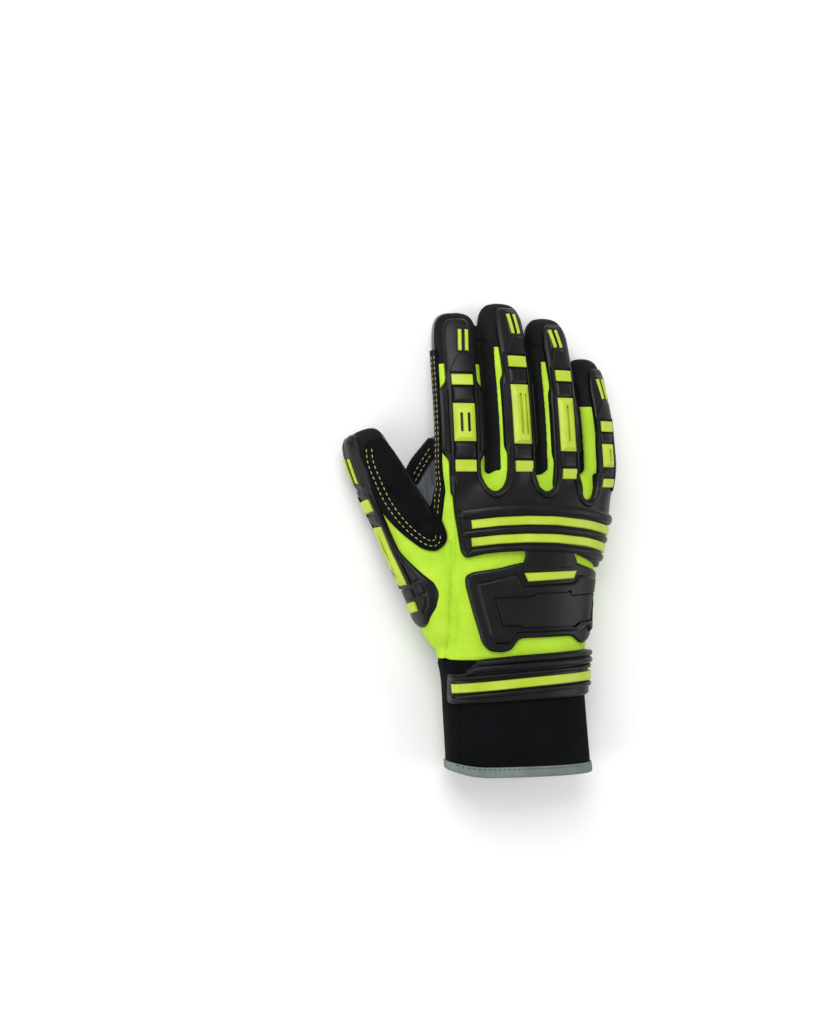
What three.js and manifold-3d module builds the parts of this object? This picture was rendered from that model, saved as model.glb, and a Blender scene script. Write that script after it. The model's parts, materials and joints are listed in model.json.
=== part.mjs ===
// Right-hand impact work glove, lying palm down.
// Millimetres. +Z is up, +Y points to the fingertips and the thumb is towards -X.
// The origin is the middle of the palm's flat underside.
import * as THREE from 'three';
import { mergeVertices } from 'three/addons/utils/BufferGeometryUtils.js';
import Module from 'manifold-3d';

const wasm = await Module();
wasm.setup();

// Sizes of the hand part
const PALM_LENGTH = 105;
const PALM_WIDTH = 106;
const PALM_DEPTH = 42;
const WRIST_Y = -52.5;
const CROTCH_Y = WRIST_Y + PALM_LENGTH;
const CLOTH = 2;

// Cross-section of the hand at shares of the palm's length from the wrist seam to the crotches.
// left, right: shares of PALM_WIDTH from the middle. bottom, top: shares of PALM_DEPTH above the floor.
const PALM_SECTIONS = [
  { along: 0, left: 0.478, right: 0.337, bottom: 0.085, top: 0.98 },
  { along: 0.14, left: 0.485, right: 0.35, bottom: 0.085, top: 1 },
  { along: 0.28, left: 0.49, right: 0.363, bottom: -0.02, top: 1 },
  { along: 0.45, left: 0.5, right: 0.388, bottom: -0.022, top: 1 },
  { along: 0.65, left: 0.505, right: 0.434, bottom: -0.022, top: 1 },
  { along: 0.8, left: 0.5, right: 0.458, bottom: 0.04, top: 1 },
  { along: 0.93, left: 0.485, right: 0.456, bottom: 0.18, top: 0.97 },
  { along: 1, left: 0.42, right: 0.41, bottom: 0.33, top: 0.87 },
];

// Fingers. x and tipX: axis at the crotch and at the tip. length: crotch to fingertip. knuckle: height of
// the axis at the crotch, as a share of PALM_DEPTH. roll: turn of the finger's back towards the little finger.
const FINGERS = [
  { name: 'index', x: -38, tipX: -38.5, length: 94, width: 27, depth: 25.5, knuckle: 0.5952, roll: -5 },
  { name: 'middle', x: -10.3, tipX: -11.4, length: 100, width: 27.8, depth: 26, knuckle: 0.6786, roll: 15 },
  { name: 'ring', x: 16.7, tipX: 16.2, length: 92, width: 25.4, depth: 25, knuckle: 0.6548, roll: 17 },
  { name: 'little', x: 40.3, tipX: 40.6, length: 69, width: 21.6, depth: 21.6, knuckle: 0.5714, roll: 30 },
];

// Finger sections at shares of the finger's length from the crotch. width and depth are shares of the
// finger's own, and fall is the share of the way from the knuckle's height down to the tip's.
const FINGER_SECTIONS = [
  { along: -0.3, width: 0.8, depth: 0.8, fall: 0 },
  { along: 0, width: 1, depth: 1, fall: 0 },
  { along: 0.22, width: 1, depth: 1, fall: 0.09 },
  { along: 0.45, width: 1, depth: 0.97, fall: 0.29 },
  { along: 0.68, width: 1, depth: 0.91, fall: 0.6 },
  { along: 0.86, width: 0.96, depth: 0.82, fall: 0.88 },
  { along: 0.945, width: 0.84, depth: 0.66, fall: 0.98 },
  { along: 0.99, width: 0.56, depth: 0.38, fall: 1 },
];
const TIP_REST_SHARE = 0.31;

// Thumb. Sections from the wrist to the tip: x, y and z of the axis in millimetres, and its width and
// depth as shares. The thumb lies on its side, so its depth lies flat and its width stands up.
const THUMB_WIDTH = 28;
const THUMB_DEPTH = 27.5;
const THUMB_ROLL = -76;
const THUMB_SECTIONS = [
  { x: -38, y: -44, z: 21, width: 1, depth: 0.92 },
  { x: -45, y: -30, z: 20.5, width: 1.15, depth: 1.12 },
  { x: -52.5, y: -8, z: 19.5, width: 1.15, depth: 1.2 },
  { x: -61.5, y: 10, z: 18, width: 1.08, depth: 1.08 },
  { x: -70.4, y: 28, z: 16, width: 1, depth: 1 },
  { x: -78.6, y: 45, z: 14.5, width: 0.98, depth: 0.98 },
  { x: -85, y: 60, z: 13.3, width: 0.94, depth: 0.92 },
  { x: -89.6, y: 70.5, z: 12.6, width: 0.84, depth: 0.8 },
  { x: -92, y: 75.5, z: 12.2, width: 0.54, depth: 0.54 },
];

// Fold of cloth between the thumb and the index finger, from the palm forwards.
const WEB_SECTIONS = [
  { x: -46, y: -6, z: 11, halfWidth: 8, halfDepth: 9 },
  { x: -50, y: 16, z: 10.5, halfWidth: 13, halfDepth: 8.5 },
  { x: -54, y: 40, z: 10, halfWidth: 15, halfDepth: 7.5 },
  { x: -54, y: 54, z: 10, halfWidth: 12, halfDepth: 6 },
  { x: -50, y: 66, z: 11, halfWidth: 7.5, halfDepth: 5.5 },
  { x: -46.5, y: 75, z: 12, halfWidth: 3, halfDepth: 4.5 },
];

// Cuff. left, right: millimetres from the middle at shares of the cuff's length from the wrist seam.
const CUFF_LENGTH = 66;
const CUFF_BOTTOM = 3.6;
const CUFF_TOP = 42;
const CUFF_SECTIONS = [
  { along: 0, left: 50.6, right: 35.7 },
  { along: 0.2, left: 47.9, right: 35.4 },
  { along: 0.6, left: 46.4, right: 37.4 },
  { along: 1, left: 45.2, right: 39.6 },
];

// Cloth and seams
const SEAM_GAP = 0.3;
const FIT_GAP = 0.3;
const CUFF_WALL = 3;
const TIP_LENGTHS = [31, 27, 27, 29.5];
const THUMB_TIP_LENGTH = 20;
const SEAM_LEFT_Z = 15;
const SEAM_RIGHT_Z = 12;
const FOURCHETTE_BELOW = 0.24;
const FOURCHETTE_ABOVE = [0.27, 0.38];
const SUEDE = 1.2;

// Moulded guard over the back of the hand
const GUARD_TOP = 3.5;
const INSERT_TOP = 3.9;
const INSERT_FOOT = 2.2;
const POCKET_FOOT = 1.9;

// Guard on each finger. strip: half width beside the bars. flange: half width beside the block.
// bars, block: half width, near and far end. lines: near and far end, and the middle's offset there.
// Ends are millimetres from the crotch.
const FINGER_GUARDS = {
  index: {
    strip: 9, flange: 10.8, tip: 89.5, upper: [6.1, 50.6, 56.6], block: [6.2, 18.6, 40],
    lower: [6, 1.4, 8], lines: [70.5, 83, 2, 3],
  },
  middle: {
    strip: 9, flange: 11.2, tip: 96.5, upper: [5.9, 61.3, 67.7], block: [5.8, 17.3, 51.1],
    lower: [5.6, 1.4, 7.6], lines: [81.1, 92.7, 1.7, 0.3],
  },
  ring: {
    strip: 8.6, flange: 10.8, tip: 87.5, upper: [5.3, 53.6, 59.9], block: [5.4, 13.3, 43.9],
    lower: [4.8, -2.6, 3.2], lines: [73.6, 84, -0.8, -2.8],
  },
  little: {
    strip: 7.6, flange: 9.4, tip: 62.5, upper: [4.8, 25, 31], block: [4.9, 4.5, 17.8],
    lower: [4.6, -7.1, -2.3], lines: [44.4, 56.1, 1.6, -0.6],
  },
};
const STRIP_FROM = CROTCH_Y - 8.5;
const LINE_WIDTH = 2;
const LINE_SPACING = 4;

// Outlines seen from above, x and y.
const KNUCKLE_PLATE = [
  [-46.8, 53], [-46.4, 46], [-45.1, 30.6], [-43.6, 21], [-41.6, 9], [-39.4, 5.2], [-31.5, 7.3], [-20.9, 9.2],
  [-6.5, 11.2], [-8, 4], [0, 0], [26, 0], [24.6, 5], [22, 10], [46, 3.2], [70, -3], [70, 46], [44, 53],
];
const KNUCKLE_CUTS = [
  [[-30.5, 75], [-29.2, 49.7], [-26.9, 44.9], [-22.9, 42.4], [-17.8, 45.4], [-16, 49.7], [-15.6, 75]],
  [[1.1, 75], [1.1, 51.4], [2.6, 46], [7.6, 42.3], [11.7, 44.5], [13.4, 49.8], [13.4, 75]],
  [[27.4, 75], [27.7, 45.6], [29.2, 40.2], [32, 37.5], [35.6, 39.7], [37.9, 45.7], [38.4, 75]],
];
const BACK_PLATE = [
  [-39.4, -4.8], [-35.6, -2.6], [-20.9, -0.4], [-7.8, 3], [26, 3], [70, -4], [70, -36], [36.9, -41.5],
  [29, -44.4], [23.6, -39.2], [-9.4, -40], [-13.8, -46.4], [-18.6, -47.8], [-26.2, -47.2], [-30.4, -42.5],
  [-35.6, -24.4], [-39.4, -9.6],
];
const STRIPE_UPPER = [
  [-36.6, 26.1], [-20.9, 27.9], [-4.5, 28.6], [12.5, 28.2], [30.5, 26.2], [70, 20],
  [70, 16], [30.6, 22.4], [12.5, 24.3], [-4.5, 24.6], [-20.9, 23.9], [-36.6, 22.2],
];
const STRIPE_LOWER = [
  [-36.6, 16.2], [-20.9, 18], [-4.5, 18.7], [12.5, 18.1], [30.5, 16.1], [70, 9],
  [70, 4.6], [30.6, 11.7], [12.5, 13.7], [-4.5, 14.4], [-20.9, 13.7], [-36.6, 12],
];
const BACK_BAR = [[-6.7, -3.2], [25.3, -2.2], [23.5, -6.4], [-4.5, -7.9]];
const BACK_RECESS = [
  [-24.7, -16.5], [-1.1, -15.7], [-0.5, -14.1], [21.7, -13.2], [22.1, -15.5], [38.5, -14.8],
  [35.3, -31.2], [28.2, -31.9], [24.8, -34.4], [-8.9, -34.7], [-10, -33.3], [-19.7, -33.5],
];
const RECESS_DEPTH = 0.7;
const WRIST_GUARD = [
  [-48, -60], [-39.5, -60], [-32.4, -52], [-9.8, -49.4], [29.1, -47.4], [70, -48.5],
  [70, -72], [33.6, -73.6], [-10, -74.8], [-47, -77],
];
const WRIST_STRIPE = [
  [-46.6, -65.4], [-20.9, -63.2], [6.9, -61.2], [70, -60], [70, -65.2], [6.9, -66.5],
  [-20.9, -68.8], [-46.4, -71],
];
const GUARD_SIDE_Z = 24;
const INSERT_SIDE_Z = 26;

// Thumb guard: u across the back of the thumb towards its top, and y.
const THUMB_GUARD = [
  [9, 76], [12, 71], [13, 62], [12.4, 52], [10, 42], [8.6, 30], [7.6, 18], [8.2, 8], [11.6, 1], [14.8, -8],
  [15.2, -15], [13, -23], [5, -32], [-2, -35], [-11, -31], [-12, -10], [-10, 8], [-9, 30], [-9.4, 48],
  [-10, 62], [-9, 71], [-6, 76],
];
const THUMB_LINES = [
  [[1.9, 60.4], [4.1, 60.4], [3.4, 47.8], [1.2, 47.8]],
  [[-4.1, 60.4], [-1.9, 60.4], [-2.6, 47.8], [-4.8, 47.8]],
];
const THUMB_BAR = [[-6, 36.2], [6.4, 38], [6, 31.8], [-6.2, 29.8]];
const THUMB_BLOCK = [[-5.5, 21.8], [5, 22.6], [1.6, -9.6], [-8.4, -11]];
const THUMB_BAR_LOWER = [[-5, -21], [4.2, -19.4], [4, -24.6], [-4.8, -26.4]];

// Suede patch over the thumb's inner side, and suede strip along the index finger.
const WEB_PATCH = [
  [-84, 74], [-69, 55], [-52, 29], [-48.6, 18.8], [-49, 13.6], [-54.5, 8.9], [-62.7, 10], [-72, 16.9],
  [-84, 30.6], [-91, 44.3], [-97, 60.2], [-94, 71],
];
const WEB_PATCH_FOOT = 17;
const INDEX_STRIP = { nearY: 16, farY: 124, below: 2, above: 6 };

// Closure tab under the cuff
const TAB_THICK = 3.2;
const TAB_OUTLINE = [
  [-38.4, -38], [-41, -40.6], [-39.8, -112.8], [-37, -115.6], [-13.6, -115.6], [-10.8, -112.8],
  [-5.6, -40.6], [-8.2, -38],
];
const TAB_RIM_WIDTH = 2.2;
const TAB_BAR_Y = -88;
const TAB_LABEL = [[-32, -46], [-20, -46], [-19, -82], [-31.5, -82]];
const TAB_BASE = 2;

// Binding at the mouth of the cuff
const BINDING_HEIGHT = 6;
const BINDING_THICK = 0.9;

const SIMPLE = 0.08;
const FINE = 0.01;
const TURN = Math.PI / 180;
const TRUNK_POINTS = 20;
const FINGER_POINTS = 12;
const COARSE_TRUNK = 14;
const COARSE_FINGER = 8;
const X_AXIS = new THREE.Vector3(1, 0, 0);
const Z_AXIS = new THREE.Vector3(0, 0, 1);

function signedPower(value, power) {
  return Math.sign(value) * Math.abs(value) ** power;
}

// One closed ring of a superellipse about centre, in the plane of side and up.
function ring(centre, side, up, halfWidth, halfHeight, points, topPower = 2.4, bottomPower = 2.4) {
  return Array.from({ length: points }, (_, k) => {
    const angle = (2 * Math.PI * k) / points;
    const power = 2 / (Math.sin(angle) > 0 ? topPower : bottomPower);
    return centre.clone()
      .addScaledVector(side, halfWidth * signedPower(Math.cos(angle), power))
      .addScaledVector(up, halfHeight * signedPower(Math.sin(angle), power));
  });
}

function solidOf(points, index) {
  const geometry = new THREE.BufferGeometry().setFromPoints(points);
  geometry.setIndex(index);
  const merged = mergeVertices(geometry, 1e-4);
  const numbers = Array.from(merged.index.array);
  const made = new wasm.Manifold(new wasm.Mesh({
    numProp: 3,
    vertProperties: new Float32Array(merged.attributes.position.array),
    triVerts: new Uint32Array(numbers),
  }));
  return made;
}

function positive(points, index) {
  const made = solidOf(points, index);
  if (made.volume() > 0) return made;
  const turned = [];
  for (let k = 0; k < index.length; k += 3) turned.push(index[k], index[k + 2], index[k + 1]);
  return solidOf(points, turned);
}

// A closed solid through a row of rings that face mostly along y, with a flat cap at each end.
function loft(rings) {
  const count = rings[0].length;
  const points = rings.flat();
  const index = [];
  for (let row = 0; row < rings.length - 1; row++) {
    for (let k = 0; k < count; k++) {
      const a = row * count + k;
      const b = row * count + ((k + 1) % count);
      index.push(a, b, a + count, b, b + count, a + count);
    }
  }
  addCaps(index, rings[0].map((p) => new THREE.Vector2(p.x, p.z)), 0, (rings.length - 1) * count);
  return positive(points, index);
}

// Both caps of a solid: the first ring's face, and the same face turned round at the last ring.
function addCaps(index, flat, first, last) {
  const turn = THREE.ShapeUtils.area(flat) > 0;
  for (const [a, b, c] of THREE.ShapeUtils.triangulateShape(flat, [])) {
    if (turn) index.push(first + a, first + c, first + b, last + a, last + b, last + c);
    else index.push(first + a, first + b, first + c, last + a, last + c, last + b);
  }
}

// A solid between two placings of one outline: low(u, v) and high(u, v) give its foot and top points.
function prism(outline, low, high) {
  const flat = outline.map(([u, v]) => new THREE.Vector2(u, v));
  const points = [...outline.map(([u, v]) => low(u, v)), ...outline.map(([u, v]) => high(u, v))];
  const count = outline.length;
  const index = [];
  for (let k = 0; k < count; k++) {
    const next = (k + 1) % count;
    index.push(k, next, k + count, next, next + count, k + count);
  }
  addCaps(index, flat, 0, count);
  return positive(points, index);
}

// An upright prism on an outline seen from above.
function upright(outline, from, to) {
  return prism(outline, (x, y) => new THREE.Vector3(x, y, from), (x, y) => new THREE.Vector3(x, y, to));
}

function box(x0, x1, y0, y1, z0, z1) {
  return upright([[x0, y0], [x1, y0], [x1, y1], [x0, y1]], z0, z1);
}

// An outline moved outwards by size, corner by corner.
function grown(outline, size) {
  const turn = THREE.ShapeUtils.area(outline.map(([u, v]) => new THREE.Vector2(u, v))) > 0 ? 1 : -1;
  return outline.map((point, k) => {
    const before = outline[(k + outline.length - 1) % outline.length];
    const after = outline[(k + 1) % outline.length];
    const inward = new THREE.Vector2(point[0] - before[0], point[1] - before[1]).normalize();
    const outward = new THREE.Vector2(after[0] - point[0], after[1] - point[1]).normalize();
    const normal = new THREE.Vector2(inward.y + outward.y, -inward.x - outward.x).normalize();
    const stretch = 1 / Math.max(normal.dot(new THREE.Vector2(inward.y, -inward.x)), 0.5);
    return [point[0] + turn * normal.x * size * stretch, point[1] + turn * normal.y * size * stretch];
  });
}

const union = (solids) => solids.reduce((a, b) => a.add(b));

function largest(solid) {
  return solid.decompose().reduce((a, b) => (a.volume() > b.volume() ? a : b));
}

// Side and up of a ring that faces along the tangent, with its back turned by roll about it.
function axes(tangent, roll) {
  const lean = new THREE.Vector3(Math.sin(roll * TURN), 0, Math.cos(roll * TURN));
  const side = new THREE.Vector3().crossVectors(tangent, lean).normalize();
  const up = new THREE.Vector3().crossVectors(side, tangent).normalize();
  return { side, up };
}

// A closed tube through stations, grown by grow all round and past its far end.
function tube(stations, roll, grow, points) {
  const rings = stations.map(({ centre, halfWidth, halfDepth }, k) => {
    const before = stations[Math.max(k - 1, 0)].centre;
    const after = stations[Math.min(k + 1, stations.length - 1)].centre;
    const tangent = after.clone().sub(before).normalize();
    const { side, up } = axes(tangent, roll);
    const nearTip = Math.max(0, (k - stations.length + 4) / 3);
    const placed = centre.clone().addScaledVector(tangent, grow * nearTip);
    return ring(placed, side, up, halfWidth + grow, halfDepth + grow, points);
  });
  return loft(rings);
}

function fingerStations(finger) {
  const tipZ = finger.depth * TIP_REST_SHARE;
  const knuckleZ = PALM_DEPTH * finger.knuckle;
  return FINGER_SECTIONS.map((row) => ({
    centre: new THREE.Vector3(
      row.along < 0 ? finger.x * 0.93 : finger.x + (finger.tipX - finger.x) * row.along,
      CROTCH_Y + finger.length * row.along,
      knuckleZ + (tipZ - knuckleZ) * row.fall,
    ),
    halfWidth: (finger.width * row.width) / 2,
    halfDepth: (finger.depth * row.depth) / 2,
  }));
}

const THUMB_STATIONS = THUMB_SECTIONS.map((row) => ({
  centre: new THREE.Vector3(row.x, row.y, row.z),
  halfWidth: (THUMB_WIDTH * row.width) / 2,
  halfDepth: (THUMB_DEPTH * row.depth) / 2,
}));

// The point of a tube's axis at y.
function axisAt(stations, y) {
  const last = stations.length - 1;
  const near = stations.findIndex((_, k) => k === last - 1 || stations[k + 1].centre.y > y);
  const a = stations[near].centre;
  const b = stations[near + 1].centre;
  return a.clone().lerp(b, (y - a.y) / (b.y - a.y));
}

// The hand without its fingers, grown by grow.
function trunk(grow, points = TRUNK_POINTS) {
  const rings = PALM_SECTIONS.map((row, k) => {
    const left = -row.left * PALM_WIDTH;
    const right = row.right * PALM_WIDTH;
    const bottom = row.bottom * PALM_DEPTH;
    const top = row.top * PALM_DEPTH;
    const past = k === PALM_SECTIONS.length - 1 ? grow : 0;
    const y = WRIST_Y + row.along * PALM_LENGTH + past;
    const centre = new THREE.Vector3((left + right) / 2, y, (bottom + top) / 2);
    const halfWidth = (right - left) / 2 + grow;
    return ring(centre, X_AXIS, Z_AXIS, halfWidth, (top - bottom) / 2 + grow, points, 2.4, 3.2);
  });
  return loft(rings);
}

// The sleeve of the cuff, grown by grow. open lengthens it past its mouth.
function cuffTube(grow, open = 0, points = TRUNK_POINTS) {
  const mouth = CUFF_SECTIONS[CUFF_SECTIONS.length - 1];
  const rows = open > 0 ? [...CUFF_SECTIONS, { ...mouth, along: 1 + open / CUFF_LENGTH }] : CUFF_SECTIONS;
  const rings = rows.map((row) => {
    const y = WRIST_Y - CUFF_LENGTH * row.along;
    const centre = new THREE.Vector3((row.right - row.left) / 2, y, (CUFF_BOTTOM + CUFF_TOP) / 2);
    const halfWidth = (row.right + row.left) / 2 + grow;
    const halfHeight = (CUFF_TOP - CUFF_BOTTOM) / 2 + grow;
    return ring(centre, X_AXIS, Z_AXIS, halfWidth, halfHeight, points, 2.4, 3.2);
  });
  return loft(rings);
}

function fingerTube(finger, grow, points = FINGER_POINTS) {
  return tube(fingerStations(finger), finger.roll, grow, points);
}

function thumbTube(grow, points = FINGER_POINTS) {
  return tube(THUMB_STATIONS, THUMB_ROLL, grow, points);
}

function webFold(grow, points = 10) {
  const stations = WEB_SECTIONS.map((row) => ({ ...row, centre: new THREE.Vector3(row.x, row.y, row.z) }));
  return tube(stations, 0, grow, points);
}

// Everything but the thumb and the cuff, grown by grow.
function handBody(grow) {
  return union([trunk(grow), webFold(grow), ...FINGERS.map((finger) => fingerTube(finger, grow))]);
}

const floor = box(-200, 200, -200, 200, -60, 0);
const ahead = box(-200, 200, WRIST_Y + SEAM_GAP / 2, 200, -60, 100);
const behind = box(-200, 200, -200, WRIST_Y - SEAM_GAP / 2, -60, 100);

const handOuter = handBody(0);
const handInner = union([
  trunk(-CLOTH, COARSE_TRUNK), webFold(-CLOTH, 8), cuffTube(-CLOTH, 5, COARSE_TRUNK),
  ...FINGERS.map((finger) => fingerTube(finger, -CLOTH, COARSE_FINGER)),
]);
const handFit = handBody(FIT_GAP);
const cuffFit = cuffTube(FIT_GAP, 5);
const thumbOuter = thumbTube(0);
const thumbInner = thumbTube(-CLOTH, COARSE_FINGER);
const handShell = handOuter.subtract(handInner).subtract(thumbInner).subtract(floor).intersect(ahead);
const thumbShell = thumbOuter.subtract(thumbInner).subtract(handFit).subtract(cuffFit).subtract(floor);

// Heights of the seams at each finger's axis: under is the palm's edge, over is the back's.
function seamRow(y) {
  return FINGERS.map((finger, k) => {
    const stations = fingerStations(finger);
    const axis = axisAt(stations, Math.max(y, CROTCH_Y)).z;
    const outer = k === 0 ? 1.5 : k === 3 ? -0.3 * finger.depth : 0;
    const inFinger = axis + outer;
    const inPalm = k < 2 ? SEAM_LEFT_Z : SEAM_RIGHT_Z;
    const share = Math.min(Math.max((y - 10) / 30, 0), 1);
    const base = inPalm + (inFinger - inPalm) * share;
    return { x: axisAt(stations, y).x, base, depth: finger.depth, mid: axis };
  });
}

const FOURCHETTE_START = CROTCH_Y - 3.2;
const FOURCHETTE_ENDS = FINGERS.slice(1).map((finger, k) => {
  const before = FINGERS[k];
  return CROTCH_Y + Math.min(before.length, finger.length) - 15;
});
const SEAM_YS = [
  -60, 10, 40, FOURCHETTE_START - 0.1, FOURCHETTE_START, 80, FOURCHETTE_ENDS[2], FOURCHETTE_ENDS[2] + 0.1,
  FOURCHETTE_ENDS[1], FOURCHETTE_ENDS[1] + 0.1, FOURCHETTE_ENDS[0] + 0.4, 165,
].sort((a, b) => a - b);

// Height of a fourchette's edge over or under the axis of the finger on its left (0) or right (1).
function fourchetteEdge(pair, facing, side, depth, y) {
  if (y < FOURCHETTE_START || y > FOURCHETTE_ENDS[pair]) return 0;
  const share = Math.min(1, (FOURCHETTE_ENDS[pair] - y) / 45);
  const full = side > 0 ? FOURCHETTE_ABOVE[facing] : FOURCHETTE_BELOW;
  return side * depth * full * (0.35 + 0.65 * share);
}

// Edge of a panel across the hand at y, moved by gap away from its neighbour.
// side is +1 for the back's edge and -1 for the palm's.
function seamEdge(y, side, gap) {
  const row = seamRow(y);
  const edge = [[-90, row[0].base + gap]];
  row.forEach(({ x, base, depth, mid }, k) => {
    const before = k === 0 ? base : mid + fourchetteEdge(k - 1, 1, side, depth, y);
    const after = k === 3 ? base : mid + fourchetteEdge(k, 0, side, depth, y);
    edge.push([x - 0.05, before + gap], [x + 0.05, after + gap]);
  });
  edge.push([90, row[3].base + gap]);
  return edge;
}

function panelCutter(side, away = SEAM_GAP / 2) {
  const far = side > 0 ? 90 : -40;
  return loft(SEAM_YS.map((y) => (
    [...seamEdge(y, side, side * away), [90, far], [-90, far]].map(([x, z]) => new THREE.Vector3(x, y, z))
  )));
}

function geometryOf(solid) {
  const mesh = solid.getMesh();
  const geometry = new THREE.BufferGeometry();
  geometry.setAttribute('position', new THREE.BufferAttribute(mesh.vertProperties, 3));
  geometry.setIndex(new THREE.BufferAttribute(mesh.triVerts, 1));
  geometry.computeVertexNormals();
  return geometry;
}

const paint = (name, color, roughness) => new THREE.MeshStandardMaterial({ name, color, roughness });
const greenCloth = paint('green_cloth', '#a8e626', 0.85);
const greyPalm = paint('grey_palm', '#6d7277', 0.55);
const blackCloth = paint('black_cloth', '#141518', 0.85);
const suede = paint('black_suede', '#101012', 0.95);
const rubber = paint('black_rubber', '#2b2b2d', 0.5);
const neon = paint('neon_rubber', '#cfe34a', 0.5);
const neoprene = paint('black_neoprene', '#15161a', 0.9);
const binding = paint('grey_binding', '#8fa09f', 0.85);
const label = paint('label', '#d9d9d9', 0.5);

const glove = new THREE.Group();

function addPiece(name, made, material, tolerance = SIMPLE) {
  const mesh = new THREE.Mesh(geometryOf(largest(made).simplify(tolerance)), material);
  mesh.name = name;
  glove.add(mesh);
}

// Panels of the hand
const backSide = handShell.intersect(panelCutter(1));
const tips = FINGERS.map((finger, k) => {
  const left = k === 0 ? -90 : (finger.x + FINGERS[k - 1].x) / 2;
  const right = k === 3 ? 90 : (finger.x + FINGERS[k + 1].x) / 2;
  const from = CROTCH_Y + finger.length - TIP_LENGTHS[k];
  return { name: finger.name, left, right, from };
});
const tipZones = union(tips.map((tip) => box(tip.left, tip.right, tip.from - SEAM_GAP, 200, -10, 80)));
addPiece('back_panel', backSide.subtract(tipZones), greenCloth);
addPiece('palm_panel', handShell.intersect(panelCutter(-1)), greyPalm);
// A fourchette fills the space between the back and the palm on the facing sides of two fingers.
const betweenPanels = handShell.subtract(panelCutter(1, -SEAM_GAP / 2)).subtract(panelCutter(-1, -SEAM_GAP / 2));
['index_middle', 'middle_ring', 'ring_little'].forEach((name, pair) => {
  const from = FOURCHETTE_START + SEAM_GAP;
  const zone = box(FINGERS[pair].x, FINGERS[pair + 1].x, from, FOURCHETTE_ENDS[pair] - SEAM_GAP, -10, 80);
  addPiece(`fourchette_${name}`, betweenPanels.intersect(zone), blackCloth);
});
for (const tip of tips) {
  const zone = box(tip.left, tip.right, tip.from, 200, -10, 80);
  addPiece(`tip_${tip.name}`, backSide.intersect(zone), blackCloth);
}

// Thumb
const thumbSeam = (side) => loft([-80, ...THUMB_SECTIONS.map((row) => row.y), 100].map((y) => {
  const z = axisAt(THUMB_STATIONS, Math.min(Math.max(y, -46), 77)).z + (side * SEAM_GAP) / 2;
  const far = side > 0 ? 90 : -40;
  return [[-150, z], [60, z], [60, far], [-150, far]].map(([x, height]) => new THREE.Vector3(x, y, height));
}));
const thumbTipY = THUMB_SECTIONS[THUMB_SECTIONS.length - 1].y - THUMB_TIP_LENGTH;
const thumbTipZone = (from) => box(-200, -60, from, 200, -10, 80);
const thumbUpper = thumbShell.intersect(thumbSeam(1));
addPiece('thumb_back', thumbUpper.subtract(thumbTipZone(thumbTipY - SEAM_GAP)), greenCloth);
addPiece('tip_thumb', thumbUpper.intersect(thumbTipZone(thumbTipY)), blackCloth);
addPiece('thumb_front', thumbShell.intersect(thumbSeam(-1)), greyPalm);

// Placing of a guard outline on a digit: u across its back from its axis, y along the hand.
function onDigit(stations, roll) {
  const out = new THREE.Vector3(Math.sin(roll * TURN), 0, Math.cos(roll * TURN));
  const across = new THREE.Vector3(Math.cos(roll * TURN), 0, -Math.sin(roll * TURN));
  return (height) => (u, y) => axisAt(stations, y).addScaledVector(across, u).addScaledVector(out, height);
}

function digitPrism(outline, stations, roll) {
  const place = onDigit(stations, roll);
  return prism(outline, place(2), place(45));
}

// A rectangle across a finger's back, its ends measured from the crotch.
function rectangle(half, near, far) {
  const [from, to] = [CROTCH_Y + near, CROTCH_Y + far];
  return [[-half, from], [half, from], [half, to], [-half, to]];
}

// Outline of a finger's guard: a strip that is wider beside the block and narrower at the fingertip.
function stripOutline({ strip, flange, tip, block }) {
  const [from, to, end] = [CROTCH_Y + block[1], CROTCH_Y + block[2], CROTCH_Y + tip];
  const side = (sign) => [
    [sign * strip, STRIP_FROM], [sign * strip, from - 3], [sign * flange, from + 1],
    [sign * flange, to - 2], [sign * strip, to + 4], [sign * strip, end - 12],
    [sign * strip * 0.9, end - 5], [sign * strip * 0.55, end],
  ];
  return [...side(1), ...side(-1).reverse()];
}

const topOf = (outline, from) => upright(outline, from, 90);
const inserts = [];
const fingerGuards = [];
for (const finger of FINGERS) {
  const sizes = FINGER_GUARDS[finger.name];
  const stations = fingerStations(finger);
  const guardTube = fingerTube(finger, GUARD_TOP);
  fingerGuards.push(guardTube.intersect(digitPrism(stripOutline(sizes), stations, finger.roll)));
  const layer = fingerTube(finger, INSERT_TOP).subtract(fingerTube(finger, INSERT_FOOT));
  const [nearEnd, farEnd, nearShift, farShift] = sizes.lines;
  const [nearLine, farLine] = [CROTCH_Y + nearEnd, CROTCH_Y + farEnd];
  const line = (side) => [
    [nearShift + side * (LINE_SPACING / 2) - LINE_WIDTH / 2, nearLine],
    [nearShift + side * (LINE_SPACING / 2) + LINE_WIDTH / 2, nearLine],
    [farShift + side * (LINE_SPACING / 2) + LINE_WIDTH / 2, farLine],
    [farShift + side * (LINE_SPACING / 2) - LINE_WIDTH / 2, farLine],
  ];
  const outlines = {
    [`bar_upper_${finger.name}`]: rectangle(...sizes.upper),
    [`block_${finger.name}`]: rectangle(...sizes.block),
    [`bar_lower_${finger.name}`]: rectangle(...sizes.lower),
    [`tip_line_${finger.name}_a`]: line(-1),
    [`tip_line_${finger.name}_b`]: line(1),
  };
  for (const [name, outline] of Object.entries(outlines)) {
    const pocket = digitPrism(grown(outline, FIT_GAP), stations, finger.roll)
      .subtract(fingerTube(finger, POCKET_FOOT));
    inserts.push({ name, pocket, solid: layer.intersect(digitPrism(outline, stations, finger.roll)) });
  }
}

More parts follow.
